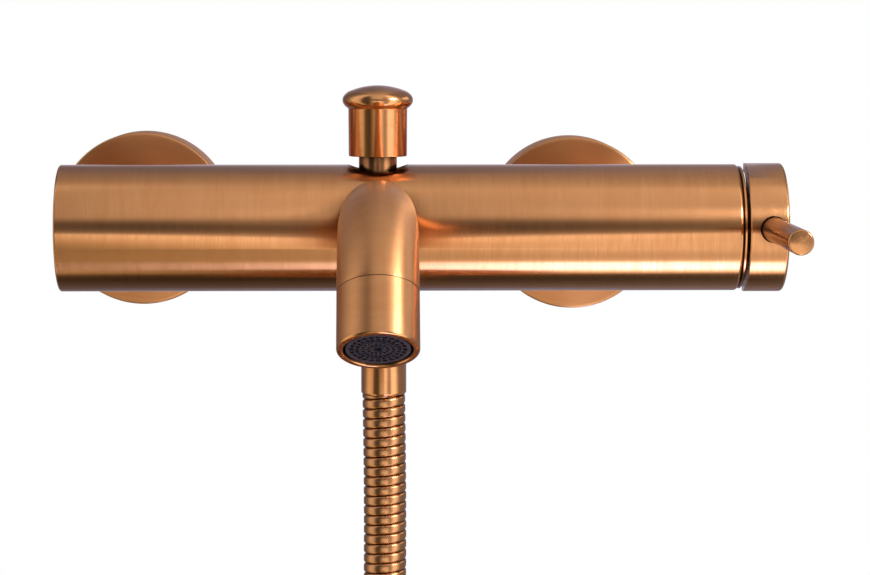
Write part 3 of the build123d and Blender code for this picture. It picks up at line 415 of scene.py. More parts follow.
def turn(name, outline, sides=128, closed=False):
    """Turned piece about Z: a circle is extruded ring by ring along outline, points of height and radius."""
    clear_selection()
    height, radius = outline[0]
    bpy.ops.mesh.primitive_circle_add(vertices=sides, radius=radius, location=(0, 0, height))
    piece = newest(name)
    edit_all()
    for next_height, next_radius in outline[1:]:
        bpy.ops.mesh.extrude_edges_move(TRANSFORM_OT_translate={"value": (0, 0, next_height - height)})
        if next_radius == 0:
            bpy.ops.mesh.merge(type="CENTER")
            break
        ratio = next_radius / radius
        bpy.ops.transform.resize(value=(ratio, ratio, 1), center_override=(0, 0, next_height))
        height, radius = next_height, next_radius
    bpy.ops.mesh.select_all(action="SELECT")
    if closed:
        bpy.ops.mesh.remove_doubles(threshold=WELD)
    else:
        bpy.ops.mesh.fill_holes(sides=0)
    face_outwards()
    return piece


def place(piece, origin, along):
    """Stands a piece that was turned about Z on its real axis, and applies the place to its mesh."""
    activate(piece)
    onto = ALONG_Z.rotation_difference(Vector(along))
    piece.matrix_world = Matrix.Translation(origin) @ onto.to_matrix().to_4x4()
    bpy.ops.object.transform_apply(location=True, rotation=True, scale=True)
    return piece


def bar(radius, start, way, length, sides=96):
    """Round bar from a start point, used to cut a hole or to add a boss."""
    clear_selection()
    bpy.ops.mesh.primitive_cylinder_add(vertices=sides, radius=radius, depth=length,
                                        location=(0, 0, length / 2))
    return place(newest("bar"), start, way)


def combine(piece, other, operation="DIFFERENCE"):
    """Cuts or joins a piece with another one, which is then removed."""
    step = piece.modifiers.new("combine", "BOOLEAN")
    step.operation = operation
    step.object = other
    step.solver = "EXACT"
    activate(piece)
    bpy.ops.object.modifier_apply(modifier=step.name)
    bpy.data.objects.remove(other, do_unlink=True)


def round_rims(piece, width=0.0002, segments=2, angle=35):
    """Takes the sharpness off a piece's rims and smooths its round sides."""
    activate(piece)
    if width:
        step = piece.modifiers.new("rims", "BEVEL")
        step.width = width
        step.segments = segments
        step.limit_method = "ANGLE"
        step.angle_limit = math.radians(angle)
        bpy.ops.object.modifier_apply(modifier=step.name)
    bpy.ops.object.shade_smooth_by_angle(angle=math.radians(angle))


def wear(piece, body, material, slot, *nodes):
    """Puts a finished piece on its body in place of the CAD nodes that it stands for."""
    paint(piece, material)
    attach(piece, body)
    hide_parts(*nodes)


def coat(piece, body, axis, centre, label, node, *look):
    """Puts a piece on its body with the brushed copper coating, in place of one CAD node."""
    wear(piece, body, copper(axis, centre, label, *look), "brushed_copper", node)


def arc(centre, radius, start, end, steps):
    """Outline points of height and radius on an arc, its angles in degrees from the radial direction."""
    return [(centre[0] + radius * math.sin(math.radians(a)), centre[1] + radius * math.cos(math.radians(a)))
            for a in (start + (end - start) * i / steps for i in range(steps + 1))]


class MIXER_OT_camera(bpy.types.Operator):
    """Camera at the photograph's viewing angle"""
    bl_idname = "mixer.camera"
    bl_label = "Camera"

    def execute(self, context):
        down, leftward = 5.433, -1.243      # degrees below level, and round from straight ahead
        clear_selection()
        bpy.ops.object.camera_add(location=(0.08212, -0.93265, 0.06253),
                                  rotation=(math.radians(90 - down), 0, math.radians(leftward)))
        camera = context.active_object
        camera.name = "photo_camera"
        camera.data.sensor_width = 36
        camera.data.lens = 108.26
        camera.data.clip_start = 0.01
        context.scene.camera = camera
        return {"FINISHED"}


COIL_CENTRE = Vector((HOSE_X, BODY_Y, -0.2390))
COIL_RADIUS = 0.0672
COIL_PITCH = 0.0154
HOSE_EXIT = Vector((HOSE_X, BODY_Y, -0.0556))
HOSE_END = Vector((0.0166, -0.119738, -0.2730))


def hose_route():
    """Control points of the hose: straight down, one bend out, and the turns of its put-away coil."""
    points = [HOSE_EXIT, (HOSE_X + 0.0003, BODY_Y, -0.075), (HOSE_X + 0.0004, BODY_Y, -0.097),
              (HOSE_X + 0.0003, BODY_Y, -0.119), (HOSE_X, BODY_Y, -0.1394), (0.0658, BODY_Y, -0.1716)]
    start, end, per_turn = math.radians(120.68), math.radians(180 + 3 * 360), 12.6
    count = round((end - start) / (2 * math.pi) * per_turn)
    step = (end - start) / count
    reach = COIL_RADIUS / math.cos(step / 2)
    for i in range(count):
        angle = start + step * (i + 0.5)
        points.append((COIL_CENTRE.x + reach * math.cos(angle),
                       BODY_Y - COIL_PITCH * (step * (i + 0.5)) / (2 * math.pi),
                       COIL_CENTRE.z + reach * math.sin(angle)))
    points[-1] = (HOSE_END.x, points[-1][1] - 0.0012, points[-1][2])
    points.append((HOSE_END.x, HOSE_END.y, HOSE_END.z + 0.016))
    points.append(HOSE_END)
    return [Vector(p) for p in points]


def centreline(points):
    """Points along the NURBS spline that the route's control points shape."""
    curve = bpy.data.curves.new("hose_line", "CURVE")
    curve.dimensions = "3D"
    spline = curve.splines.new("NURBS")
    spline.points.add(len(points) - 1)
    for knot, point in zip(spline.points, points):
        knot.co = (*point, 1)
    spline.order_u = 3
    spline.use_endpoint_u = True
    curve.resolution_u = 10
    holder = bpy.data.objects.new("hose_line", curve)
    bpy.context.scene.collection.objects.link(holder)
    line = bpy.data.meshes.new_from_object(holder)
    found = [v.co.copy() for v in line.vertices]
    bpy.data.objects.remove(holder, do_unlink=True)
    bpy.data.curves.remove(curve)
    bpy.data.meshes.remove(line)
    return found


class Run:
    """Position and turning-free directions at any distance along a line of points."""

    def __init__(self, points):
        self.points = points
        self.at = [0.0]
        for a, b in zip(points, points[1:]):
            self.at.append(self.at[-1] + (b - a).length)
        self.length = self.at[-1]
        ways = [(points[min(i + 1, len(points) - 1)] - points[max(i - 1, 0)]).normalized()
                for i in range(len(points))]
        side = ways[0].cross(ALONG_Y).normalized()
        self.frames = []
        for i, way in enumerate(ways):
            if i:
                side = ways[i - 1].rotation_difference(way) @ side
            side = (side - way * side.dot(way)).normalized()
            self.frames.append((side, way.cross(side)))
        self.last = 0

    def point(self, distance, angle, radius):
        """Point at a distance along, an angle round and a radius out."""
        distance = min(max(distance, 0.0), self.length)
        i = min(self.last, len(self.at) - 2)
        while i > 0 and self.at[i] > distance:
            i -= 1
        while i < len(self.at) - 2 and self.at[i + 1] < distance:
            i += 1
        self.last = i
        t = (distance - self.at[i]) / (self.at[i + 1] - self.at[i])
        centre = self.points[i].lerp(self.points[i + 1], t)
        side = self.frames[i][0].lerp(self.frames[i + 1][0], t)
        up = self.frames[i][1].lerp(self.frames[i + 1][1], t)
        return centre + (side * math.cos(angle) + up * math.sin(angle)) * radius


# Section of one rib of the wound strip: share of the pitch, and radius in metres
RIB = ((0.00, 0.00655), (0.10, 0.00696), (0.20, 0.00711), (0.30, 0.00715), (0.70, 0.00715), (0.80, 0.00711),
       (0.90, 0.00696))
ROUND = 24              # points in each turn
STRIP_TURN = 0.0448     # the strip's own length grows by one circumference a turn


class MIXER_OT_hose(bpy.types.Operator):
    """Strip-wound shower hose, one helix of ribs along its whole smooth line"""
    bl_idname = "mixer.hose"
    bl_label = "Shower hose"

    def execute(self, context):
        sizes = context.scene.mixer_sizes
        line = centreline(hose_route())
        run = Run(line)
        turns = math.ceil(run.length / sizes.rib_pitch) + 1
        pitch, rows = sizes.rib_pitch, turns * ROUND
        columns = len(RIB)
        points, faces, places = [], [], []
        for i in range(rows + 1):
            angle = 2 * math.pi * i / ROUND
            for share, radius in RIB:
                points.append(run.point(pitch * (i / ROUND - 1 + share), angle, radius))
        for i in range(rows + 1 - ROUND):
            for j in range(columns):
                across = (i * columns + j, i * columns + j + 1) if j < columns - 1 else (
                    i * columns + j, (i + ROUND) * columns)
                ahead = (across[0] + columns, across[1] + columns)
                faces.append((across[0], across[1], ahead[1], ahead[0]))
                low, high = RIB[j][0], RIB[j + 1][0] if j < columns - 1 else 1.0
                u, v = STRIP_TURN * i / ROUND, STRIP_TURN * (i + 1) / ROUND
                places.extend(((u, low), (u, high), (v, high), (v, low)))
        faces = [face for face in faces if max(face) < len(points)]
        mesh = bpy.data.meshes.new("shower_hose_strip")
        mesh.from_pydata(points, [], faces)
        layer = mesh.uv_layers.new(name="Along")
        layer.data.foreach_set("uv", [c for uv in places[:4 * len(faces)] for c in uv])
        hose = bpy.data.objects.new("shower_hose_strip", mesh)
        context.scene.collection.objects.link(hose)
        activate(hose)
        edit_all()
        bpy.ops.mesh.dissolve_degenerate(threshold=0.000001)
        bpy.ops.mesh.select_all(action="SELECT")
        bpy.ops.mesh.fill_holes(sides=0)
        face_outwards()
        bpy.ops.object.shade_smooth_by_angle(angle=math.radians(50))
        colours = context.scene.mixer_colours
        wear(hose, "mixer", finish_of("satin_copper_strip", lambda name: strip_metal(
            name, colours.copper, colours.copper_groove)), "hose_copper", "shower_hose", "shower_hose_coil")
        return {"FINISHED"}


class MIXER_OT_body(bpy.types.Operator):
    """Body tube with rounded rims, the diverter's recess and the holes of its fittings"""
    bl_idname = "mixer.body"
    bl_label = "Body"

    def execute(self, context):
        sizes = context.scene.mixer_sizes
        left, right, radius = sizes.body_left, sizes.body_right, sizes.body_radius
        bore = radius - sizes.body_wall
        outline = ([(left, bore + 0.0001), (left, radius - 0.0007)]
                   + arc((left + 0.0007, radius - 0.0007), 0.0007, -90, 0, 6)[1:]
                   + arc((right - 0.0012, radius - 0.0012), 0.0012, 0, 90, 8)
                   + [(right, bore + 0.0001), (right - 0.0001, bore), (left + 0.0001, bore),
                      (left, bore + 0.0001)])
        body = place(turn("mixer_body", outline, sides=192, closed=True), BODY, ALONG_X)
        combine(body, bar(0.010, DIVERTER, ALONG_Z, 0.03))
        combine(body, bar(0.0095, (SPOUT_X, BODY_Y, SPOUT_ROOT_Z), -ALONG_Y, 0.03))
        combine(body, bar(0.0081, (HOSE_X, BODY_Y, 0), -ALONG_Z, 0.03))
        for inlet in INLET_X.values():
            combine(body, bar(0.0091, (inlet, BODY_Y, 0), ALONG_Y, 0.03))
        round_rims(body, 0.0003, 3)
        coat(body, "mixer", ALONG_X, BODY, "body", "body_shell")
        return {"FINISHED"}


class MIXER_OT_cover(bpy.types.Operator):
    """Thin bright collar between the body and the cap"""
    bl_idname = "mixer.cover"
    bl_label = "Cover ring"

    def execute(self, context):
        outline = [(0.1960, 0.0146), (0.1960, 0.01750), (0.2016, 0.01750), (0.2016, 0.0202),
                   (0.2018, 0.0204), (0.2023, 0.0204), (0.2025, 0.0202), (0.2025, 0.0146),
                   (0.1960, 0.0146)]
        ring = place(turn("cover_ring_turned", outline, sides=160, closed=True), BODY, ALONG_X)
        round_rims(ring, 0)
        coat(ring, "mixer", ALONG_X, BODY, "body", "cover_ring")
        return {"FINISHED"}


class MIXER_OT_handle(bpy.types.Operator):
    """Handle: the cap with its hub and slanted back rim, and the lever"""
    bl_idname = "mixer.handle"
    bl_label = "Handle"

    def execute(self, context):
        cap_end, cap_radius = 0.2162, 0.02135
        outline = ([(0.2012, 0.00415), (0.2012, 0.0090), (0.2120, 0.0090), (0.2120, cap_radius - 0.0028),
                    (0.2034, cap_radius - 0.0028), (0.2034, cap_radius - 0.0003),
                    (0.2037, cap_radius)]
                   + arc((cap_end - 0.0010, cap_radius - 0.0010), 0.0010, 0, 90, 8)
                   + [(cap_end, 0.0030), (0.2073, 0.0030), (0.2073, 0.00415), (0.2012, 0.00415)])
        cap = place(turn("handle_cap_turned", outline, sides=192, closed=True), BODY, ALONG_X)
        clear_selection()
        bpy.ops.mesh.primitive_cylinder_add(vertices=64, radius=0.0031, depth=0.0095,
                                            location=(0, 0, 0.21145))
        plug = place(newest("plug"), BODY, ALONG_X)
        combine(cap, plug, "UNION")
        combine(cap, bar(0.0052, (LEVER_X, BODY_Y - 0.0085, LEVER_Z), -ALONG_Y, 0.0115), "UNION")
        clear_selection()
        bpy.ops.mesh.primitive_cube_add(size=0.05)
        wedge = newest("wedge")
        slant = math.radians(12.7)
        wedge.matrix_world = (Matrix.Translation((0.2034, BODY_Y, 0)) @ Matrix.Rotation(-slant, 4, "Z")
                              @ Matrix.Translation((-0.025, 0.025, 0)))
        activate(wedge)
        bpy.ops.object.transform_apply(location=True, rotation=True, scale=True)
        keep = bar(0.0089, (0.2005, BODY_Y, 0), ALONG_X, 0.012)
        combine(wedge, keep)
        combine(cap, wedge)
        combine(cap, bar(0.0044, (LEVER_X, BODY_Y - 0.010, LEVER_Z), -ALONG_Y, 0.02))
        combine(cap, bar(0.0020, (0.2052, BODY_Y + 0.004, 0), ALONG_Y, 0.03, sides=48))
        round_rims(cap, 0.00015, 2)
        coat(cap, "handle", ALONG_X, BODY, "body", "handle_cap")
        reach, chamfer = 0.076, 0.00035
        lever = turn("lever_turned", [(0.0031, 0.0030), (0.01002, 0.0030), (0.01002, 0.0040),
                                      (reach - chamfer, 0.0040), (reach, 0.0040 - chamfer)], sides=96)
        place(lever, (LEVER_X, BODY_Y, LEVER_Z), -ALONG_Y)
        round_rims(lever, 0.0001, 2)
        coat(lever, "handle", ALONG_Y, (LEVER_X, BODY_Y, LEVER_Z), "lever", "lever_pin")
        return {"FINISHED"}


class MIXER_OT_diverter(bpy.types.Operator):
    """Diverter: the domed knob with its skirt"""
    bl_idname = "mixer.diverter"
    bl_label = "Diverter"

    def execute(self, context):
        dome, rim, top = 0.0017, 0.0089, 0.0472
        dome_radius = (rim ** 2 + dome ** 2) / (2 * dome)
        sweep = math.degrees(math.asin(rim / dome_radius))
        outline = ([(0.0425, 0.0020), (0.0360, 0.0020), (0.0360, 0.0069), (0.0238, 0.0069),
                    (0.0238, 0.0094), (0.0239, 0.00958), (0.02405, 0.00965), (0.0394, 0.00975),
                    (0.0397, 0.0099), (0.0402, 0.01065), (0.0410, 0.0113), (0.0417, 0.01162),
                    (0.0424, 0.0117), (0.0430, 0.01162), (0.0437, 0.01132), (0.0442, 0.0109),
                    (0.0448, 0.01025), (0.0452, 0.0096)]
                   + arc((top - dome_radius, 0), dome_radius, 90 - sweep, 88.5, 9) + [(top, 0)])
        knob = place(turn("diverter_knob_turned", outline), DIVERTER, ALONG_Z)
        round_rims(knob, 0)
        coat(knob, "diverter", ALONG_Z, DIVERTER, "knob", "diverter_knob",
             (0.14, 0.20), 0.006, 0.5)
        return {"FINISHED"}


class MIXER_OT_spout(bpy.types.Operator):
    """Spout: the bent arm, and the outlet sleeve past its seam"""
    bl_idname = "mixer.spout"
    bl_label = "Spout"

    def execute(self, context):
        sizes = context.scene.mixer_sizes
        radius, wall = sizes.spout_radius, sizes.spout_wall
        bend = (SPOUT_ROOT_Z - SEAM.z) / (1 - math.cos(SPOUT_TILT))
        bend_y = SEAM.y + bend * math.sin(SPOUT_TILT)
        start_y = BODY_Y - 0.012
        clear_selection()
        bpy.ops.mesh.primitive_circle_add(vertices=128, radius=radius, rotation=(math.radians(90), 0, 0),
                                          location=(SPOUT_X, start_y, SPOUT_ROOT_Z))
        arm = newest("spout_arm_bent")
        edit_all()
        runs = 6
        for _ in range(runs):
            bpy.ops.mesh.extrude_edges_move(
                TRANSFORM_OT_translate={"value": (0, (bend_y - start_y) / runs, 0)})
        bpy.ops.mesh.spin(steps=28, angle=-SPOUT_TILT, center=(SPOUT_X, bend_y, SPOUT_ROOT_Z - bend),
                          axis=(1, 0, 0))
        bpy.ops.object.mode_set(mode="OBJECT")
        lowest = min(v.co.z for v in arm.data.vertices)
        if lowest > SEAM.z - radius / 4:
            raise RuntimeError("the spout's bend turned upwards")
        edit_all()
        bpy.ops.mesh.remove_doubles(threshold=WELD)
        bpy.ops.mesh.normals_make_consistent(inside=False)
        bpy.ops.object.mode_set(mode="OBJECT")
        shell = arm.modifiers.new("wall", "SOLIDIFY")
        shell.thickness = wall
        shell.offset = -1
        activate(arm)
        bpy.ops.object.modifier_apply(modifier=shell.name)
        combine(arm, bar(0.02103, (-0.015, BODY_Y, 0), ALONG_X, 0.2, sides=192))
        round_rims(arm, 0.0002, 2)
        self.unroll(arm, bend, bend_y)
        wear(arm, "mixer", spout_copper(), "brushed_copper", "spout_arm")

        lip, mouth = 0.0007, radius - 0.0020
        outline = ([(0.00015, 0.00905), (0.00015, radius - 0.0001), (0.00025, radius)]
                   + arc((OUTLET_LENGTH - lip, radius - lip), lip, 0, 90, 6)
                   + arc((OUTLET_LENGTH - 0.0005, mouth + 0.0005), 0.0005, 90, 180, 6) + [(0.0040, mouth),
                      (0.0040, 0.00755), (-0.0050, 0.00755), (-0.0050, 0.00905), (0.00015, 0.00905)])
        outlet = place(turn("spout_outlet_turned", outline, closed=True), SEAM, FLOW)
        round_rims(outlet, 0)
        coat(outlet, "mixer", FLOW, SEAM, "outlet", "spout_outlet", (0.36, 0.44))
        polished = copper(FLOW, SEAM, "outlet_lip", (0.08, 0.12))
        outlet.data.materials.append(polished)
        for face in outlet.data.polygons:
            if (face.center - SEAM).dot(FLOW) > OUTLET_LENGTH - 0.0005:
                face.material_index = 1
        return {"FINISHED"}

    def unroll(self, piece, bend, bend_y):
        """UV map in metres: how far along the spout's line each corner is, and how far round it."""
        centre, radius = Vector((bend_y, SPOUT_ROOT_Z - bend)), 0.0125
        layer = piece.data.uv_layers.get("Along") or piece.data.uv_layers.new(name="Along")
        for face in piece.data.polygons:
            for loop in face.loop_indices:
                x, y, z = piece.data.vertices[piece.data.loops[loop].vertex_index].co
                from_bend = Vector((y, z)) - centre
                turned = math.atan2(-from_bend.x, from_bend.y)
                if turned <= 0:
                    along, up = bend_y - y, z - SPOUT_ROOT_Z
                elif turned < SPOUT_TILT:
                    along, up = bend * turned, from_bend.length - bend
                else:
                    past = Vector((x, y, z)) - SEAM
                    along = bend * SPOUT_TILT + past.dot(FLOW)
                    up = past.dot(FLOW.cross(ALONG_X))
                layer.data[loop].uv = (along + 0.1, math.atan2(x - SPOUT_X, up) * radius)
        piece.data.uv_layers.active = layer


class MIXER_OT_rosettes(bpy.types.Operator):
    """Wall rosettes: thin round cups with a rounded front rim"""
    bl_idname = "mixer.rosettes"
    bl_label = "Rosettes"

    def execute(self, context):
        radius = context.scene.mixer_sizes.rosette_radius
        front, back, rim, wall = -0.019, 0.0, 0.0008, 0.0012
        outline = ([(front, 0.0153), (front, radius - rim - 0.0005)]
                   + arc((front + rim, radius - rim), rim, -90, 0, 6)[1:]
                   + [(back - 0.0002, radius), (back, radius - 0.0002), (back, radius - wall),
                      (front + wall, radius - wall), (front + wall, 0.0153), (front, 0.0153)])
        for side, inlet in INLET_X.items():
            centre = (inlet, 0, ROSETTE_Z[side])
            cup = place(turn("rosette_cup_" + side, outline, sides=160, closed=True), centre, ALONG_Y)
            round_rims(cup, 0)
            name = "rosette_" + side
            coat(cup, "mixer", ALONG_Y, centre, name, name, (0.28, 0.36))       # pressed sheet, duller
        return {"FINISHED"}


class MIXER_OT_unions(bpy.types.Operator):
    """Inlet fittings: hexagon union nuts, and wall unions with their pipe threads"""
    bl_idname = "mixer.unions"
    bl_label = "Unions"

    def execute(self, context):
        near, far, flats = BODY_Y + 0.0304, BODY_Y + 0.0454, 0.030
        corner = flats / 2 / math.cos(math.radians(30))
        for side, inlet in INLET_X.items():
            clear_selection()
            bpy.ops.mesh.primitive_cylinder_add(vertices=6, radius=corner, depth=far - near,
                                                location=(0, 0, (near + far) / 2))
            nut = place(newest("union_nut_hex_" + side), (inlet, 0, 0), ALONG_Y)
            crown = turn("crown", [(near, 0.0154), (near + 0.0011, 0.0164), (far - 0.0011, 0.0164),
                                   (far, 0.0154)], sides=96)
            combine(nut, place(crown, (inlet, 0, 0), ALONG_Y), "INTERSECT")
            combine(nut, bar(0.0092, (inlet, near - 0.001, 0), ALONG_Y, 0.03))
            combine(nut, bar(0.01328, (inlet, near + 0.003, 0), ALONG_Y, 0.03))
            round_rims(nut, 0.0002, 2, 25)
            coat(nut, "mixer", ALONG_Y, (inlet, 0, 0), "inlet_" + side, "union_nut_" + side)

            pitch, depth, bore = 0.001814, 0.00116, 0.0060
            start, end, outer = 0.0002, 0.0140, 0.01048
            outline = [(-0.0270, bore), (-0.0270, 0.0129), (-0.0267, 0.01322), (-0.0130, 0.01322),
                       (-0.0130, outer), (start, outer)]
            height = start
            while height + pitch < end - 0.0008:
                outline += [(height + 0.1 * pitch, outer), (height + 0.5 * pitch, outer - depth),
                            (height + 0.9 * pitch, outer)]
                height += pitch
            outline += [(end - 0.0008, outer), (end, outer - 0.0008), (end, bore), (-0.0270, bore)]
            union = place(turn("wall_union_threaded_" + side, outline, sides=96, closed=True),
                          (inlet, 0, 0), ALONG_Y)
            round_rims(union, 0, angle=30)
            wear(union, "mixer", brass(ALONG_Y, (inlet, 0, 0), "inlet_" + side), "brass",
                 "wall_union_" + side)
        return {"FINISHED"}


class MIXER_OT_hose_nuts(bpy.types.Operator):
    """Conical hose nuts at the mixer and at the hose's far end"""
    bl_idname = "mixer.hose_nuts"
    bl_label = "Hose nuts"

    def execute(self, context):
        thread, pitch = 0.0105, 0.001814
        outline = [(0, 0.01155), (0.0001, 0.01175), (0.0004, 0.0120), (0.0158, 0.0120), (0.0162, 0.01192),
                   (0.0204, 0.00770), (0.0207, 0.00755), (0.0297, 0.00755), (0.0300, 0.00748),
                   (0.0306, 0.00698), (0.0306, 0.0050), (0.0125, 0.0050), (0.0125, 0.00966),
                   (thread, 0.00966), (thread, 0.01054)]
        height = thread - 0.0004
        while height - pitch > 0.0010:
            outline += [(height, 0.01054), (height - 0.45 * pitch, 0.00995), (height - 0.9 * pitch, 0.01054)]
            height -= pitch
        outline += [(0.0007, 0.01054), (0, 0.01125), (0, 0.01155)]
        top = Vector((HOSE_X, BODY_Y, -0.0250))
        near = place(turn("hose_nut_turned", outline, closed=True), top, -ALONG_Z)
        round_rims(near, 0, angle=28)
        coat(near, "mixer", ALONG_Z, top, "hose_nut", "hose_nut")
        low = HOSE_END - 0.0306 * ALONG_Z
        end = place(turn("hose_end_nut_turned", outline, closed=True), low, ALONG_Z)
        round_rims(end, 0, angle=28)
        coat(end, "mixer", ALONG_Z, low, "hose_end_nut", "hose_end_nut")
        return {"FINISHED"}


class MIXER_OT_tie(bpy.types.Operator):
    """Woven strap that holds the coil's turns together"""
    bl_idname = "mixer.tie"
    bl_label = "Hose tie"

    def execute(self, context):
        low, high = (Vector(corner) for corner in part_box("hose_tie"))
        thick = 0.0014
        half = (high.x - low.x) / 2
        spare = (high.y - low.y) / 2 - half
        clear_selection()
        bpy.ops.mesh.primitive_circle_add(vertices=64, radius=half - thick / 2,
                                          location=(*((low + high) / 2).xy, low.z + 0.0003))
        strap = newest("hose_tie_strap")
        middle_y = (low.y + high.y) / 2
        for sign in (1, -1):
            bpy.ops.object.mode_set(mode="EDIT")
            bpy.ops.mesh.select_all(action="DESELECT")
            bpy.ops.object.mode_set(mode="OBJECT")
            for v in strap.data.vertices:
                v.select = (v.co.y - middle_y) * sign > 0.0001
            bpy.ops.object.mode_set(mode="EDIT")
            bpy.ops.transform.translate(value=(0, sign * spare, 0))
        bpy.ops.mesh.select_all(action="SELECT")
        bpy.ops.mesh.extrude_edges_move(TRANSFORM_OT_translate={"value": (0, 0, high.z - low.z - 0.0006)})
        face_outwards()
        shell = strap.modifiers.new("wall", "SOLIDIFY")
        shell.thickness = thick
        shell.offset = 0
        activate(strap)
        bpy.ops.object.modifier_apply(modifier=shell.name)
        round_rims(strap, 0.0003, 3, 50)
        colours = context.scene.mixer_colours
        wear(strap, "mixer", finish_of("woven_strap", lambda name: grained(
            name, colours.strap, 0.0007, 0.75, 0.0002, 0.3, kind="ShaderNodeTexVoronoi")),
            "tie_strap", "hose_tie")
        return {"FINISHED"}


class MIXER_OT_kept_nodes(bpy.types.Operator):
    """Finishes of the CAD nodes that are shown as they are"""
    bl_idname = "mixer.kept_nodes"
    bl_label = "Kept CAD nodes"

    def execute(self, context):
        slots = {part["node"]: part["material_slot"] for part in frame["record"]["subparts"]}
        turned = {
            "spout_nipple": (ALONG_Y, DIVERTER, "spout_nipple"),
            # the stem's reach of 0.03 paints deep shade on it from the knob's skirt and the body's recess
            # round it
            "diverter_sleeve": (ALONG_Z, DIVERTER, "sleeve", (0.14, 0.20), 0.03),
        }
        for axis, centre, label, names in (
                (ALONG_X, BODY, "body", ("end_plug", "retaining_nut", "spindle")),
                (ALONG_Z, DIVERTER, "diverter", ("diverter_rod", "diverter_valve", "sleeve_cap",
                                                 "valve_seat_lower", "valve_seat_upper")),
                (ALONG_Z, (HOSE_X, BODY_Y, 0), "hose_nut", ("outlet_nipple", "hose_ferrule"))):
            turned.update((name, (axis, centre, label)) for name in names)
        for side, inlet in INLET_X.items():
            turned["inlet_nipple_" + side] = (ALONG_Y, (inlet, 0, 0), "inlet_" + side)
        for name, node in frame["nodes"].items():
            if name in turned:
                make = copper if slots[name] == "brushed_copper" else brass
                paint(node, make(*turned[name]))
            elif slots[name] in ("rubber", "foam", "cartridge_plastic", "aerator_plastic", "ceramic",
                                 "steel"):
                paint(node, plain_finish(slots[name]))
        spring, top, lift = frame["nodes"]["return_spring"], 0.030, 0.007   # its fixed end, the knob's travel
        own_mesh(spring)
        return {"FINISHED"}


